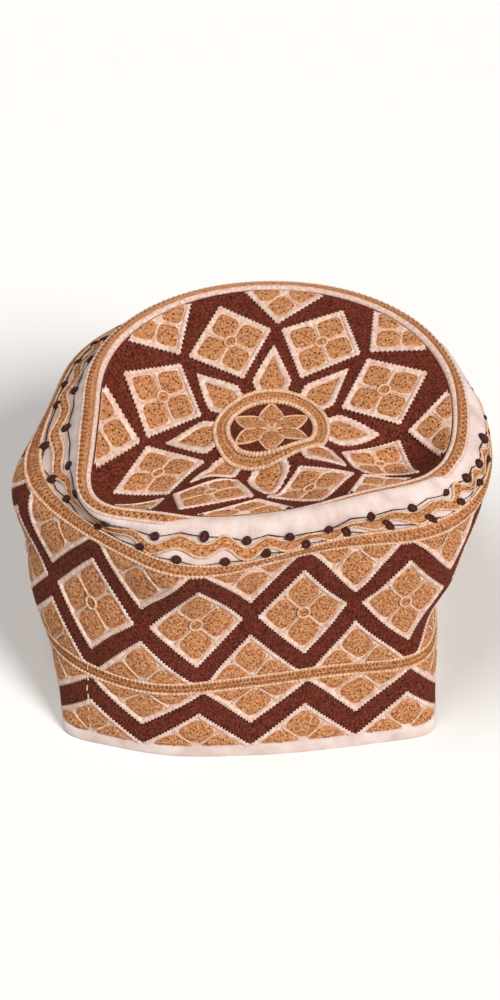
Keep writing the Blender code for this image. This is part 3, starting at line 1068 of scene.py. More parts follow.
@dataclass(frozen=True)
class Motif:
    """A diamond of four petals in a white frame, or the part of one inside a line.

    Attributes:
        x: Its middle on the cloth.
        y: Its middle on the cloth.
        half_x: Half its width.
        half_y: Half its height.
        turn: Degrees that it is turned.
        frame: Width of its white frame.
        top: Highest second distance kept, or None.
        bottom: Lowest second distance kept, or None.
        reach: Farthest distance from the cloth's middle kept, or None.
        tooth: Length of one tooth of the frame.
        crown: The cap's cloth for a motif of the crown, whose sides hang straight.
        slant: Whether they do so seen from above, or at a slant where height counts too.
    """

    x: float
    y: float
    half_x: float
    half_y: float
    turn: float = 0.0
    frame: float = 1.4
    top: float | None = None
    bottom: float | None = None
    reach: float | None = None
    tooth: float = 1.4
    crown: CapForm | None = None
    slant: float = 0.0

    @property
    def inner(self) -> float:
        """Size of the diamond inside the frame, as a share of the whole."""
        return 1.0 - self.frame * np.hypot(self.half_x, self.half_y) / (self.half_x * self.half_y)

    @property
    def corners(self) -> np.ndarray:
        """Its right, top, left and foot corner, in its own directions."""
        x, y = self.half_x, self.half_y
        return np.array([(x, 0.0), (0.0, y), (-x, 0.0), (0.0, -y)])

    @property
    def arms(self) -> np.ndarray:
        """From its middle to the middles of the inner diamond's two upper sides."""
        x, y = self.half_x, self.half_y
        return np.array([(x, y), (-x, y)]) / 2.0 * self.inner

    def turned(self, local: np.ndarray) -> np.ndarray:
        """Places on the flat cloth of points given in the motif's own directions.

        Args:
            local: Distances along its width and its height.

        Returns:
            Places on the flat cloth.
        """
        angle = radians(self.turn)
        x = local[..., 0] * cos(angle) - local[..., 1] * sin(angle) + self.x
        y = local[..., 0] * sin(angle) + local[..., 1] * cos(angle) + self.y
        return np.stack([x, y], axis=-1)

    def at(self, local: np.ndarray) -> np.ndarray:
        """The same places, on the crown moved so that the motif's sides hang straight.

        Args:
            local: Distances along its width and its height.

        Returns:
            Places on the cloth.
        """
        spots = self.turned(local)
        if self.crown is None:
            return spots
        share = local / (self.half_x, self.half_y)
        p, q = ((share[..., :1] + sign * share[..., 1:] + 1.0) / 2.0 for sign in (1.0, -1.0))
        right, top, left, foot = self.hung_corners()
        goal = (p * q * right + p * (1.0 - q) * top
                + (1.0 - p) * (1.0 - q) * left + (1.0 - p) * q * foot)
        return self.crown.settled(spots, goal, self.slant)

    def hung_corners(self) -> list[np.ndarray]:
        """Corners as hung; those past the rim follow from the motif's two straight sides.

        Returns:
            The right, top, left and foot corner.
        """
        spots = self.turned(self.corners)
        if self.reach is None:
            return list(self.crown.as_hung(spots, self.slant))
        left = spots[2]
        ends = []
        for spot in (spots[1], spots[3]):
            share = np.linspace(0.0, 1.0, 200)
            line = left + (spot - left) * share[:, None]
            share = np.interp(self.reach, np.hypot(*line.T), share)
            both = np.stack([left, left + (spot - left) * share])
            start, end = self.crown.as_hung(both, self.slant)
            ends.append(start + (end - start) / share)
        return [ends[0] + ends[1] - start, ends[0], start, ends[1]]

    def inside(self, spots: np.ndarray, margin: float = 0.0) -> np.ndarray:
        """Which places lie in the part of the motif that is kept.

        Args:
            spots: Places on the cloth.
            margin: Distance that they have to keep from the line.

        Returns:
            True for each place that does.
        """
        kept = np.full(len(spots), True)
        if self.top is not None:
            kept &= spots[:, 1] <= self.top - margin
        if self.bottom is not None:
            kept &= spots[:, 1] >= self.bottom + margin
        if self.reach is not None:
            kept &= np.hypot(*spots.T) <= self.reach - margin
        return kept

    def held(self, spots: np.ndarray) -> np.ndarray:
        """The places, moved back onto the line where they lie past it.

        Args:
            spots: Places on the cloth.

        Returns:
            Places inside the motif's line.
        """
        spots = spots.copy()
        low = -np.inf if self.bottom is None else self.bottom
        high = np.inf if self.top is None else self.top
        spots[:, 1] = np.clip(spots[:, 1], low, high)
        if self.reach is not None:
            far = np.maximum(np.hypot(*spots.T), 1e-6)
            spots *= np.minimum(1.0, self.reach / far)[:, None]
        return spots

    def stitch_frame(self, work: Needlework) -> None:
        """Lays the white frame, with a toothed outer edge and needle holes along it.

        Args:
            work: The piece that it is added to.
        """
        steps = 2 * int(round(np.hypot(self.half_x, self.half_y) / self.tooth))
        tooth = by_turns(steps + 1, -0.12, 0.62)[:, None]
        tooth[[0, -1]] = 0.15
        for a, b in zip(self.corners, np.roll(self.corners, -1, axis=0)):
            edge = a + (b - a) * np.linspace(0.0, 1.0, steps + 1)[:, None]
            outward = -left_of(unit(b - a))
            lines = [self.at(edge * (1.0 - (1.0 - self.inner) * depth) + outward * (tooth * bite))
                     for depth, _, bite in FRAME_EDGE]
            keep = np.flatnonzero(self.inside(lines[0]))
            if len(keep) < 3:
                continue
            kept = slice(keep[0], keep[-1] + 1)
            rows = [raised(self.held(spots[kept]), height)
                    for spots, (_, height, _) in zip(lines, FRAME_EDGE)]
            work.grid(rows[::-1], Palette.WHITE)
            # The needle holes are small dots of painted shade along the frame's toothed edge.
            holes = self.at((edge + outward * 0.42)[2:-1:2])
            holes = holes[self.inside(holes, 0.6)]
            work.dots(holes, NEEDLE, work.sheet.value.hole, Palette.HOLE)

    def petals(self) -> list[np.ndarray]:
        """Outlines of the petals that are kept, sharp only towards the frame's corners.

        Returns:
            Closed outlines on the cloth.
        """
        first, second = self.arms
        a, b = circle(64).T
        corner = np.where((a > 0.0) & (b > 0.0), 7.0, np.where((a < 0.0) & (b < 0.0), 4.2, 3.8))
        reach = 0.470 * square_reach(a, b, corner)
        a, b = 0.508 + reach * a, 0.508 + reach * b
        found = []
        for sa, sb in ((-1.0, -1.0), (-1.0, 1.0), (1.0, -1.0), (1.0, 1.0)):
            outline = self.at((sa * a)[:, None] * first + (sb * b)[:, None] * second)
            if sa * sb < 0.0:
                outline = outline[::-1]
            if self.inside(outline).mean() >= SMALLEST:
                outline = clipped(outline, self.top, self.bottom)
                found.append(resampled(self.held(outline), 26))
        return found

    def stitch(self, work: Needlework, low: Needlework) -> None:
        """Lays the petals, their eyelets, the cords between them and the small ring.

        Args:
            work: The piece that the petals are added to.
            low: The piece that the frame and cords are added to.
        """
        self.stitch_frame(low)
        laying = work.sheet.value
        ground = self.at(resampled(self.corners * (self.inner + 0.02), 48))
        ground = self.held(clipped(ground, self.top, self.bottom))
        low.pillow(ground, laying.ground, laying.ground_lift, Palette.WHITE, laying.ground_rings)
        for outline in self.petals():
            work.pillow(outline, laying.petal, laying.petal_lift, Palette.TAN,
                        laying.petal_rings, fullness=FLAT)
            stitch_eyelets(outline, work)
        first, second = self.arms
        for arm in (first, -first, second, -second):
            spots = self.at(arm * np.linspace(0.2, 0.93, 12)[:, None])
            spots = spots[self.inside(spots, 0.4)]
            if len(spots) > 3:
                low.cord(spots, 0.44, 0.50, Palette.CREAM, pitch=1.2)
        if self.top is None and self.bottom is None and self.reach is None:
            low.cord(self.at(circle(20) * 2.3), 0.50, 0.85, Palette.CREAM, closed=True, pitch=1.2)
            work.pillow(self.at(circle(20) * 1.95), 0.5, 0.4, Palette.TAN, rings=2)
            two = self.at(np.array([(-0.5, -0.3), (0.55, 0.35)]))
            work.dots(two, NEEDLE, 0.97, Palette.EYELET)


def stitch_eyelets(outline: np.ndarray, work: Needlework) -> None:
    """Lays uneven rows of small dark eyelets on a petal.

    Args:
        outline: The petal's outline.
        work: The piece that they are added to.
    """
    laying = work.sheet.value
    middle = outline.mean(axis=0)
    away = outline - middle
    angle = np.arctan2(away[:, 1], away[:, 0])
    order = np.argsort(angle)
    angle, reach = angle[order], np.hypot(*away[order].T)
    i, j = (a.ravel() for a in np.meshgrid(np.arange(-4, 5), np.arange(-5, 6), indexing="ij"))
    phase = middle.sum()
    stray = placed(np.sin(3.1 * i + 1.7 * j + phase), np.cos(2.3 * i - 1.9 * j + phase))
    step = placed(1.9 * i + 0.95 * (j % 2), 1.5 * j) + 0.4 * stray
    edge = np.interp(np.arctan2(step[:, 1], step[:, 0]), angle, reach, period=TURN)
    share = np.hypot(*step.T) / edge
    kept = (share < 0.86) & (np.sin(5.3 * i + 4.1 * j + 2.0 * phase) > laying.few)
    if kept.any():
        heights = (0.20 + 0.62 * (1.0 - share[kept] ** 4.0) ** 0.6) * laying.eyelet_lift + 0.08
        work.dots(middle + step[kept], laying.eyelet, heights, Palette.EYELET)


@dataclass
class Piece:
    """What all pieces of the cap share.

    Attributes:
        form: The cap's cloth.
    """

    form: CapForm

    def relief(self, u: np.ndarray, v: np.ndarray) -> tuple[np.ndarray, np.ndarray]:
        """Shift up the cloth and height above it at places on it; none for a plain piece."""
        return np.zeros_like(u), np.zeros_like(u)

    def shell(self, low: float, high: float, wall: float, rows: int, around: int,
              flat_foot: bool = False) -> Needlework:
        """Makes a closed wall of white cotton.

        Args:
            low: Its lower edge, up the cloth.
            high: Its upper edge.
            wall: Thickness.
            rows: Rows of faces on each side.
            around: Columns of faces.
            flat_foot: Whether its lower edge lies level on the floor.

        Returns:
            The wall's needlework.
        """
        work = Needlework(self.form, Sheet.SIDE)
        u, v = np.meshgrid(round_cap(around), np.linspace(low, high, rows + 1))
        shift, height = self.relief(u, v)
        outside = np.stack([u, v + shift, height], axis=-1)
        inside = np.stack([u, v, np.full_like(u, -wall)], axis=-1)[::-2]
        outer, inner = work.lay(outside), work.lay(inside)
        if flat_foot:
            inner[-1, :, 2] = outer[0, :, 2]
            inner[..., 2] = np.maximum(inner[..., 2], 0.0)
        for place, finish, points in (
                (outside, Palette.COTTON, outer),
                (inside, Palette.LINING, inner),
                ([outside[-1], inside[0]], Palette.COTTON, [outer[-1], inner[0]]),
                ([inside[-1], outside[0]], Palette.COTTON, [inner[-1], outer[0]])):
            work.grid(place, finish, wrap=True, points=points)
        return work

    @staticmethod
    def sew(work: Needlework, name: str, slot: str, *nodes: str) -> None:
        """Makes a piece of its needlework, hangs it on the root body and hides the CAD nodes that
        it replaces.

        Args:
            work: The piece's faces.
            name: The new object's name.
            slot: A material slot's name; not used.
            *nodes: CAD nodes that it replaces.
        """
        piece = work.build(name)
        if nodes:
            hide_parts(*nodes)
        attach(piece, "root")
        log.info("%s: %d faces", piece.name, len(piece.data.polygons))


@dataclass
class HemBand(Piece):
    """Plain cotton hem, turned twice and pressed."""

    top: float = 4.9
    wall: float = 2.2
    puff: float = 0.45

    def relief(self, u: np.ndarray, v: np.ndarray) -> tuple[np.ndarray, np.ndarray]:
        """The turned cloth stands fuller between its two edges.

        Args:
            u: Distance round the cap.
            v: Distance up the cloth.

        Returns:
            Shift up the cloth and height above the smooth cloth.
        """
        full = np.clip(1.0 - (2.0 * v / self.top - 1.0) ** 4, 0.0, 1.0)
        wavy = 1.0 + 0.35 * np.sin(u / 11.0 + 1.3 * np.sin(u / 29.0))
        return np.zeros_like(u), self.puff * full * wavy * (v > 0.0)

    def build(self) -> None:
        """Builds the hem."""
        work = self.shell(0.0, self.top, self.wall, rows=8, around=560, flat_foot=True)
        self.sew(work, "hem_cloth", "turned_hem_cotton", "hem_band")


@dataclass
class Rope:
    """Two beaded cream cords with two rows of dots on a tan stitch between them.

    Attributes:
        level: Its middle, up the cloth.
        half: Distance from its middle to each cord.
        row: Distance from its middle to each row of dots.
        pitch: Distance between the dots of a row.
    """

    level: float
    half: float = 2.2
    row: float = 0.75
    pitch: float = STITCH

    def stitch(self, work: Needlework) -> None:
        """Lays the rope.

        Args:
            work: The piece that it is added to.
        """
        u = round_cap(ROPE_POINTS)
        for side in (-1.0, 1.0):
            path = placed(u, self.level + side * self.half)
            work.cord(path, 0.56, 0.55, Palette.CREAM, closed=True, knuckle=0.34)
        work.ribbon(u, self.level, self.half, ROPE_LINES, 0.12 * np.cos(TURN * u / STITCH))
        for k, offset in enumerate((-self.row, self.row)):
            along = (np.arange(int(GIRTH / self.pitch)) + 0.5 * k) * self.pitch
            centres = placed(along, self.level + offset + 0.12 * np.sin(along * 1.9))
            work.dots(centres, 0.46, 0.80, Palette.CHAIN)


@dataclass
class SideBand(Piece):
    """Tall embroidered band with its brown lattice, framed diamonds and ropes.

    Attributes:
        low: Its lower edge, up the cloth.
        high: Its upper edge.
        wall: Thickness.
        middle: Of the row of whole diamonds.
        half_x: Half a diamond's width.
        half_y: Half its height.
        frame: Width of the white frames.
        steep: Rise of the lattice beside the rows of whole diamonds.
        flat: Rise of the lattice near the hem.
        rope_low: The rope between the two rows.
        rope_high: The rope along the upper edge.
    """

    low: float = 4.9
    high: float = 91.2
    wall: float = 1.9
    middle: float = 60.0
    half_x: float = 17.8
    half_y: float = 18.8
    frame: float = 1.35
    steep: float = 1.07
    flat: float = 0.705
    rope_low: Rope = field(default_factory=lambda: Rope(31.5))
    rope_high: Rope = field(default_factory=lambda: Rope(89.8, 2.4, 0.8, 2.1))

    def build(self) -> None:
        """Builds the cloth, the lattice, the petals and the ropes."""
        cloth = self.shell(self.low, self.high, self.wall, rows=44, around=392)
        self.sew(cloth, "side_cloth", "embroidered_cotton", "side_band")
        lattice, petals, frames, ropes = (Needlework(self.form, Sheet.SIDE) for _ in range(4))
        self.zigzags(lattice)
        self.side_seam(lattice)
        for motif in self.motifs():
            motif.stitch(petals, frames)
        self.rope_low.stitch(ropes)
        self.rope_high.stitch(ropes)
        for work, name in ((lattice, "side_lattice"), (petals, "side_petals"),
                           (frames, "side_frames"), (ropes, "side_ropes")):
            self.sew(work, name, "embroidered_cotton")

    def zigzags(self, work: Needlework) -> None:
        """Lays the three brown zigzags of raised satin stitch with toothed edges.

        Args:
            work: The piece that they are added to.
        """
        steps = 60
        count = REPEATS * steps
        u = (np.arange(count) - steps // 2) * (REPEAT / steps) + REPEAT
        away = np.abs(u % REPEAT - REPEAT / 2.0)
        gap = REPEAT / 2.0 - away
        diamond = np.maximum(self.half_y - self.half_y / self.half_x * away, 0.0)
        steep, flat = self.steep * gap, self.flat * gap
        # Heights up the cloth, as in the chart of the pattern.
        for low, high in (
                (self.middle + diamond, np.minimum(67.2 + steep, 86.3)),
                (np.maximum(52.8 - steep, 33.7), self.middle - diamond),
                (np.maximum(19.6 - self.flat * away, 5.0), np.minimum(14.2 + flat, 29.2))):
            seam_low, seam_high = (np.abs(edge - self.middle) < 0.01 for edge in (low, high))
            tooth = by_turns(count, 0.55, -0.25)
            low = low + np.where(seam_low, -0.02, tooth)
            high = high + np.where(seam_high, 0.02, -tooth)
            rows = []
            for share in ZIGZAG_LINES:
                depth = min(share, 1.0 - share)
                foot = 0.08 if len(rows) in (0, len(ZIGZAG_LINES) - 1) else 0.34
                height = foot + (0.62 - foot) * (1.0 - (1.0 - min(depth / 0.25, 1.0)) ** 2) ** 0.5
                level = np.where(seam_low if share < 0.5 else seam_high, 0.62, height)
                level = level + by_turns(count, 0.10, -0.10) * (depth > 0.0)
                rows.append(raised(placed(u, low + (high - low) * share), level))
            work.grid(rows, Palette.BROWN, wrap=True)

    @staticmethod
    def side_seam(work: Needlework) -> None:
        """Lays the pale running stitch that closes the band at the front left.

        Args:
            work: The piece that it is added to.
        """
        for k, start in enumerate(np.arange(6.0, 33.0, 4.2)):
            v = np.linspace(start, start + 2.9 - 0.8 * (k % 3), 7)
            u = -1.56 * REPEAT - 0.055 * (v - 45.0) + 0.25 * np.sin(v)
            work.cord(placed(u, v), 0.28, 0.86, Palette.WHITE, pitch=2.0, knuckle=0.1, sides=4)

    def motifs(self) -> list[Motif]:
        """All the diamonds and half diamonds of the band.

        Returns:
            Motifs in columns round the cap.
        """
        found = []
        for k in range(REPEATS):
            column, gap = (k + 0.5) * REPEAT, (k + 1.0) * REPEAT
            # Whole diamonds, the halves above and below them, and the two half rows at the hem.
            for x, y, half_x, half_y, line in (
                    (column, self.middle, self.half_x, self.half_y, {}),
                    (gap, 87.3, 18.4, 20.4, {"top": 87.3}),
                    (gap, 33.7, 17.8, 18.9, {"bottom": 33.7}),
                    (gap, 29.2, 21.0, 14.8, {"top": 29.2}),
                    (column, 5.0, 20.4, 14.4, {"bottom": 5.0})):
                found.append(Motif(x, y, half_x, half_y, frame=self.frame, **line))
        return found


@dataclass
class Gusset(Piece):
    """Plain white cotton over the shoulder, with the scalloped braid laid along it.

    Attributes:
        low: Its lower edge, up the cloth.
        high: Its upper edge.
        wall: Thickness.
        level: Middle of the braid.
        swing: Height of its waves above and below that.
        upper_thread: Level of the upper dark thread.
        lower_thread: Level of the lower one.
        lower_knots: Places of the lower knots that show, in diamonds from the front's middle.
    """

    low: float = 90.9
    high: float = 107.9
    wall: float = 1.5
    level: float = 97.6
    swing: float = 2.2
    upper_thread: float = 101.0
    lower_thread: float = 94.1
    lower_knots: tuple = (-3.99, -3.60, -2.93, -2.40, -2.06, -1.55, -1.05, -0.68, -0.24, 0.15,
                          0.54, 0.98, 1.45, 1.90, 2.31, 2.68, 3.05)

    def relief(self, u: np.ndarray, v: np.ndarray) -> tuple[np.ndarray, np.ndarray]:
        """Faint ribs where the cloth is gathered, and its roll over the rim at the front.

        Args:
            u: Distance round the cap.
            v: Distance up the cloth.

        Returns:
            Shift up the cloth and height above the smooth cloth.
        """
        s = wrapped(u / REPEAT, REPEATS)
        rib = np.cos(TURN * u / 2.25 + 1.4 * np.sin(u / 17.0)) * eased(v, 99.0, 102.0)
        rib *= 0.25 + 0.75 * eased(np.abs(s - 0.4), 0.9, 1.8)
        slack = 0.30 * np.sin(u / 4.3 + 2.0 * np.sin(u / 23.0))
        slack = slack * np.exp(-(((v - 103.0) / 3.0) ** 2))
        roll = tucked(u)
        shift = 2.0 * roll * eased(v, 101.5, self.high)
        return shift, 0.06 * rib + slack + 1.3 * roll * np.exp(-(((v - 107.0) / 1.5) ** 2))

    def build(self) -> None:
        """Builds the cloth and the braid."""
        cloth = self.shell(self.low, self.high, self.wall, rows=18, around=1568)
        self.sew(cloth, "gusset_cloth", "bleached_cotton", "gusset")
        braid = Needlework(self.form, Sheet.SIDE)
        self.stitch_braid(braid)
        self.stitch_threads(braid)
        self.sew(braid, "gusset_braid", "bleached_cotton")

    @staticmethod
    def of_waves(at: np.ndarray, name: str, by: str = "s") -> np.ndarray:
        """One column of the table of waves, between its rows, at values of another column."""
        return np.interp(at, *([getattr(wave, key) for wave in WAVES] for key in (by, name)))

    def wave(self, u: np.ndarray) -> np.ndarray:
        """Height of the braid's middle, which is lowest at the upper knots.

        Args:
            u: Distance round the cap.

        Returns:
            Distances up the cloth.
        """
        s = wrapped(u / REPEAT, REPEATS)
        swing = self.swing * self.of_waves(s, "swing") * (1.0 + 0.12 * np.sin(u * 0.21))
        middle = self.level + self.of_waves(s, "rise")
        return middle - swing * np.cos(TURN * self.of_waves(s, "count")) + 0.25 * np.sin(u * 0.13)

    def stitch_braid(self, work: Needlework) -> None:
        """Lays the tan wave, its cream edges and its eyelets.

        Args:
            work: The piece that it is added to.
        """
        u = round_cap(BRAID_POINTS)
        s = wrapped(u / REPEAT, REPEATS)
        slumped = eased(s, 0.0, 0.4) * (1.0 - eased(s, 2.0, 2.4))
        half = 1.30 + 0.45 * eased(s, -2.0, -1.5)
        half += 0.45 * eased(s, -1.2, -0.8) * (1.0 - eased(s, 0.2, 0.8)) + 0.65 * slumped
        centre = self.wave(u) - 0.75 * slumped
        work.ribbon(u, centre, half, BRAID_LINES)
        for side in (-1.0, 1.0):
            path = placed(u, centre + side * (half + 0.25))
            work.cord(path, 0.52, 0.42, Palette.CREAM, closed=True, knuckle=0.25)
        spots = round_cap(BRAID_EYELETS)
        level = self.wave(spots) + by_turns(len(spots), 0.75, -0.75)
        work.dots(placed(spots, level), 0.44, 0.72, Palette.EYELET)

    def stitch_threads(self, work: Needlework) -> None:
        """Lays the two dark threads, which sag between their knots, and the knots.

        Args:
            work: The piece that they are added to.
        """
        u = round_cap(BRAID_POINTS)
        upper = self.of_waves(np.arange(WAVES[0].count, WAVES[-1].count + 1.0), "s", by="count")
        rises = self.of_waves(upper, "rise")
        rises += 1.5 * np.minimum(rises, 0.0)
        behind = np.linspace(3.46, 9.60, 16)
        lower = np.concatenate([self.lower_knots, behind, [self.lower_knots[0] + REPEATS]])
        for side, level, knots in ((1.0, self.upper_thread + rises, upper * REPEAT),
                                   (-1.0, self.lower_thread, lower * REPEAT)):
            heights = level + 0.5 * np.sin(np.arange(len(knots)) * 2.4 + side)
            heights[-1] = heights[0]
            number = np.arange(len(knots) - 1)
            middles = (knots[1:] + knots[:-1]) / 2.0 + 1.3 * np.sin(number * 1.7)
            bends = (heights[1:] + heights[:-1]) / 2.0 + side * (1.4 + 0.6 * np.cos(number * 2.9))
            corners = np.column_stack([knots[:-1], middles]).ravel()
            levels = np.column_stack([heights[:-1], bends]).ravel()
            path = placed(u, np.interp(u, corners, levels, period=GIRTH))
            work.cord(path, 0.24, 0.3, Palette.DARK, closed=True, pitch=3.0, knuckle=0.1, sides=4)
            for spot in placed(knots, heights)[:-1]:
                self.knot(work, spot)

    @staticmethod
    def knot(work: Needlework, spot: np.ndarray) -> None:
        """Lays one round knot with a sunken middle.

        Args:
            work: The piece that it is added to.
            spot: Its place on the cloth.
        """
        rows = [raised(circle(16) * radius + spot, height) for radius, height in KNOT_RINGS]
        work.grid(rows, Palette.DARK, wrap=True)
        work.dots(spot[None], 0.78, 1.08, Palette.BROWN, sink=-0.25)


@dataclass
class RimBand(Piece):
    """Tan chain-stitch stripe on the rim with a plump cream cord inside it."""

    low: float = 107.1
    middle: float = 109.0
    pitch: float = STITCH

    def build(self) -> None:
        """Builds the stripe and its cords."""
        rim = self.form.side[-1]
        u = round_cap(AROUND)
        roll = tucked(u)[:, None]
        back = 1.0 - eased(np.abs(u[:, None] / REPEAT - REPEATS / 2.0), 2.6, 3.6)
        twist = np.cos(TURN * u / self.pitch)[:, None]
        levels = (self.low + 2.6 * roll[:, 0]) / SIDE_STEP
        seam = sample(self.form.side, levels, np.arange(AROUND, dtype=float))
        inward = self.form.crown[-1] - rim
        work = Needlework(self.form, Sheet.SIDE)
        arm = inward * 0.42 * (1.0 - 0.6 * roll) * (1.0 - 0.6 * back)
        rise = (0.95 + 0.10 * twist) * (1.0 - 0.75 * roll)
        self.tube(work, rim, seam - rim, arm, rise, Palette.TAN, 12)
        arm = inward * (0.31 + 0.14 * back + 0.02 * twist)
        rise = (0.95 + 0.16 * twist) * (1.0 - 0.6 * roll)
        self.tube(work, rim + inward * (0.70 - 0.11 * back), -arm, arm, rise, Palette.WHITE, 8)
        arm = unit(seam - rim) * (0.75 - 0.35 * roll)
        rise = (0.75 - 0.3 * roll) * (1.0 + 0.3 * twist)
        self.tube(work, seam, arm, -arm, rise, Palette.WHITE, 6)
        ticks = np.flatnonzero((np.arange(AROUND) % 3 == 0) & (roll[:, 0] < 0.1))
        offset = np.where((ticks // 3) % 2 == 0, 0.35, -0.75)
        centres = placed(u[ticks], self.middle + offset)
        work.dots(centres, 0.58, 1.04, Palette.CHAIN, sink=0.04)
        self.sew(work, "rim_stitching", "chain_stitch_cotton", "rim_band")

    @staticmethod
    def tube(work: Needlework, middle: np.ndarray, outwards: np.ndarray, inwards: np.ndarray,
             rise: np.ndarray, finish: Palette, sides: int) -> None:
        """Adds a closed tube round the cap.

        Args:
            work: The piece that it is added to.
            middle: Line of the tube's middle.
            outwards: From the middle to its outer edge.
            inwards: From the middle to its inner edge.
            rise: Height above the middle.
            finish: Its finish.
            sides: Faces round the tube.
        """
        u = round_cap(AROUND)
        upward = unit(np.cross(ahead(middle), inwards - outwards))
        points, place = [], []
        for side in range(sides):
            angle = TURN * side / sides
            across = outwards if cos(angle) > 0.0 else inwards
            lift = (rise if sin(angle) > 0.0 else 0.8) * sin(angle)
            points.append(middle + across * abs(cos(angle)) + upward * lift - BOX_MIDDLE)
            place.append(raised(placed(u, CLOTH_TOP + side * 0.9), 0.0))
        work.grid(place, finish, wrap=True, ring=True, points=points)


@dataclass
class CrownPanel(Piece):
    """Slack crown with its brown star, framed diamonds, kites and middle flower.

    Attributes:
        diamonds: Whole diamonds round the crown.
        wall: Thickness.
        slant: How much height counts where the diamonds' sides are hung straight.
    """

    diamonds: int = 8
    wall: float = 1.9
    slant: float = 1.235

    def build(self) -> None:
        """Builds the cloth and its embroidery."""
        cloth, petals, frames = (Needlework(self.form, Sheet.CROWN) for _ in range(3))
        self.disc(cloth)
        for k in range(self.diamonds):
            angle = (k + 0.5) * 360.0 / self.diamonds
            front = 0.7 if angle < 210.0 or angle > 330.0 else 0.35
            slant = self.slant * (1.0 if angle < 180.0 else front)
            hung = {"frame": 1.45, "tooth": 1.75, "crown": self.form, "slant": slant}
            self.motif(0.675 * CROWN_RADIUS, angle, 17.0, 17.0, hung).stitch(petals, frames)
            angle = k * 360.0 / self.diamonds
            self.motif(68.0, angle, 14.4, 16.1, {**hung, "reach": 69.7}).stitch(petals, frames)
            self.kite(petals, frames, angle)
        self.medallion(petals, frames)
        self.sew(cloth, "crown_cloth", "embroidered_crown_cotton", "crown_panel")
        self.sew(petals, "crown_petals", "embroidered_crown_cotton")
        self.sew(frames, "crown_frames", "embroidered_crown_cotton")

    @staticmethod
    def motif(away: float, angle: float, half_x: float, half_y: float, hung: dict) -> Motif:
        """A diamond of the crown, at a distance and in a direction from its middle."""
        x, y = away * cos(radians(angle)), away * sin(radians(angle))
        return Motif(x, y, half_x, half_y, turn=angle, **hung)

    def disc(self, work: Needlework) -> None:
        """Adds the brown ground and the lining below it.

        Args:
            work: The piece that it is added to.
        """
        around, rings = 360, 56
        top = []
        for step in range(rings + 1):
            radius = CROWN_RADIUS * (0.004 + 0.996 * step / rings)
            ridge = by_turns(around, 0.05, -0.05) * (step % 2)
            top.append(raised(circle(around) * radius, 0.25 + ridge))
        low = np.array(top[::-4])
        low[..., 2] = -self.wall
        work.grid(top, Palette.BROWN, wrap=True)
        work.grid(low, Palette.LINING, wrap=True)
        work.grid([top[-1], low[0]], Palette.BROWN, wrap=True)
        for ring, sign, finish in ((top[0], 1, Palette.BROWN), (low[-1], -1, Palette.LINING)):
            faces = [(j, (j + 1) % around, around)[::sign] for j in range(around)]
            work.add(np.vstack([ring, (0.0, 0.0, ring[0, 2])]), faces, finish)

    def kite(self, petals: Needlework, frames: Needlework, angle: float) -> None:
        """Lays one pointed leaf between the ring and the star.

        Args:
            petals: The piece that its filling is added to.
            frames: The piece that its frame is added to.
            angle: Its direction in degrees.
        """
        turn, count = radians(angle), 60
        frame = np.array([[cos(turn), sin(turn)], [-sin(turn), cos(turn)]])
        outer, inner = self.leaf(KITE_OUTER, count), self.leaf(KITE_INNER, count)
        tooth = unit(outer - inner) * by_turns(count, -0.1, 0.6)[:, None]
        rows = [raised((outer + (inner - outer) * depth + tooth * bite) @ frame, height)
                for depth, height, bite in KITE_EDGE]
        frames.grid(rows, Palette.WHITE, wrap=True)
        filling = resampled(inner @ frame, 32)
        petals.pillow(filling, 0.35, 0.6, Palette.TAN, fullness=FLAT)
        stitch_eyelets(filling, petals)

    @staticmethod
    def leaf(half: tuple, count: int) -> np.ndarray:
        """Closed outline of a pointed leaf, from the table of one side of it."""
        line = np.array(half)
        return resampled(np.vstack([line * (1.0, -1.0), line[:-1][::-1]]), count)

    def medallion(self, petals: Needlework, frames: Needlework) -> None:
        """Lays the middle ring and the six-petalled flower inside it.

        Args:
            petals: The piece that the filling is added to.
            frames: The piece that the cords are added to.
        """
        for radius, thick in ((17.3, 1.0), (22.4, 0.85)):
            frames.cord(circle(300) * radius, thick, 0.75, Palette.CREAM, closed=True,
                        knuckle=0.22, sides=6)
        stitches = 84
        swell = 0.12 * np.cos(np.linspace(0.0, TURN, 300, endpoint=False) * stitches)
        rows = [raised(circle(300) * radius, height + swell) for radius, height in MEDALLION_RINGS]
        petals.grid(rows, Palette.TAN, wrap=True)
        petals.dots(circle(stitches) * 19.9, 0.4, 1.22, Palette.EYELET)
        petal = circle(36)
        petal = petal * square_reach(*petal.T, 1.35)[:, None] * (7.8, 4.9) + (8.5, 0.0)
        for angle in range(30, 360, 60):
            axis = np.array([cos(radians(angle)), sin(radians(angle))])
            outline = resampled(petal @ np.stack([axis, left_of(axis)]), 36)
            petals.pillow(outline, 0.35, 0.6, Palette.TAN, fullness=FLAT)
            frames.cord(outline, 0.42, 0.45, Palette.CREAM, closed=True, pitch=1.3)
            stitch_eyelets(outline, petals)


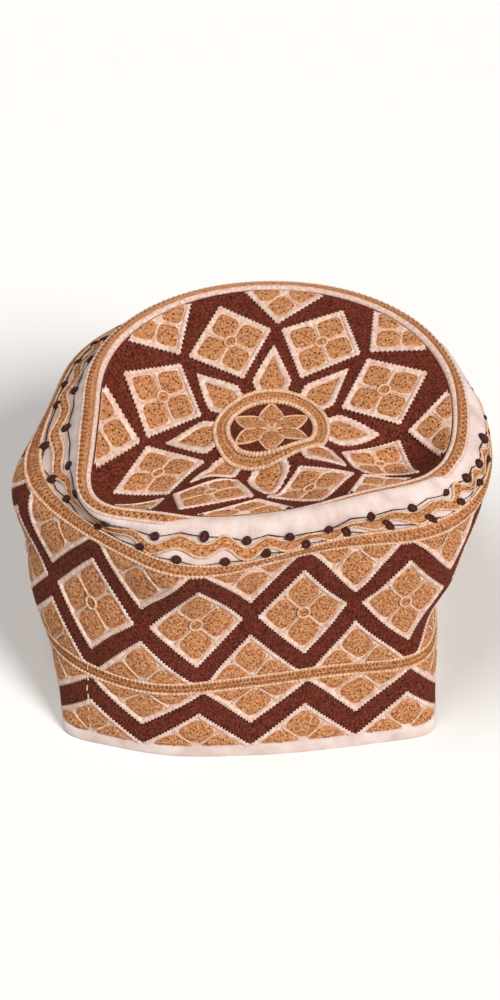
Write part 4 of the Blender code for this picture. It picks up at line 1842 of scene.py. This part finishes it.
@dataclass
class Studio:
    """Pale floor, soft light and the camera at the photograph's angle."""

    elevation: float = 39.0
    distance: float = 0.9
    target_height: float = 0.05
    lens: float = 155.52
    floor_half: float = 40.0

    def build(self) -> None:
        """Builds the floor, the lights and the camera."""
        self.floor()
        self.lights()
        self.camera()

    def floor(self) -> None:
        """Adds a large plain pale floor."""
        mesh = bpy.data.meshes.new("floor")
        far = self.floor_half
        mesh.from_pydata([(-far, -far, 0), (far, -far, 0), (far, far, 0), (-far, far, 0)], [],
                         [(0, 1, 2, 3)])
        floor = bpy.data.objects.new("floor", mesh)
        bpy.context.scene.collection.objects.link(floor)
        # Matt wall paint: even and pale, with no reflection of the cap.
        paint = bpy.data.materials.new("pale_floor_paint")
        paint.use_nodes = True
        feed(paint.node_tree.nodes["Principled BSDF"],
             {"Base Color": linear("#E2E1E0"), "Roughness": 0.9})
        mesh.materials.append(paint)

    def lights(self) -> None:
        """Adds a soft key light from the front right, a weak one from above and the pale room.

        Both stand so far off that they light the whole floor evenly, so they are
        lamps with a width in degrees.
        """
        for name, spot, width, strength in (
                ("key_light", (1.0, -1.0, 1.10), 23.0, 3.5),
                ("top_light", (-0.6, 0.0, 1.45), 40.0, 1.75)):
            lamp = bpy.data.lights.new(name, "SUN")
            lamp.angle = radians(width)
            lamp.energy = strength
            lamp.color = linear("#FFFDFA")[:3]
            holder = bpy.data.objects.new(name, lamp)
            holder.location = spot
            bpy.context.scene.collection.objects.link(holder)
            holder.rotation_euler = self.facing(-np.array(spot))
        world = bpy.data.worlds.new("pale_room")
        bpy.context.scene.world = world
        world.use_nodes = True
        feed(world.node_tree.nodes["Background"], {"Color": linear("#FFFFFF"), "Strength": 0.13})
        bpy.context.scene.view_settings.view_transform = "Standard"

    @staticmethod
    def facing(direction: np.ndarray) -> tuple[float, float, float]:
        """Euler angles that point an object's -Z axis in a direction."""
        return tuple(Vector(direction.tolist()).to_track_quat("-Z", "Y").to_euler())

    def camera(self) -> None:
        """Adds the camera at the photograph's angle."""
        lens = bpy.data.cameras.new("photo_camera")
        lens.sensor_fit = "HORIZONTAL"
        lens.sensor_width = 36.0
        lens.lens = self.lens
        lens.clip_start = 0.01
        holder = bpy.data.objects.new("photo_camera", lens)
        target = np.array([0.0, 0.0, self.target_height]) - BOX_MIDDLE * MM
        angle = radians(self.elevation)
        away = np.array([0.0, -cos(angle), sin(angle)])
        holder.location = target + away * self.distance
        holder.rotation_euler = self.facing(-away)
        bpy.context.scene.collection.objects.link(holder)
        bpy.context.scene.camera = holder


def main() -> None:
    """Builds the cap in order."""
    logging.basicConfig(level=logging.INFO, format="%(name)s: %(message)s")
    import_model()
    form = CapForm()
    for piece in (HemBand, SideBand, Gusset, RimBand, CrownPanel):
        piece(form).build()
    Studio().build()


if __name__ == "__main__":
    main()
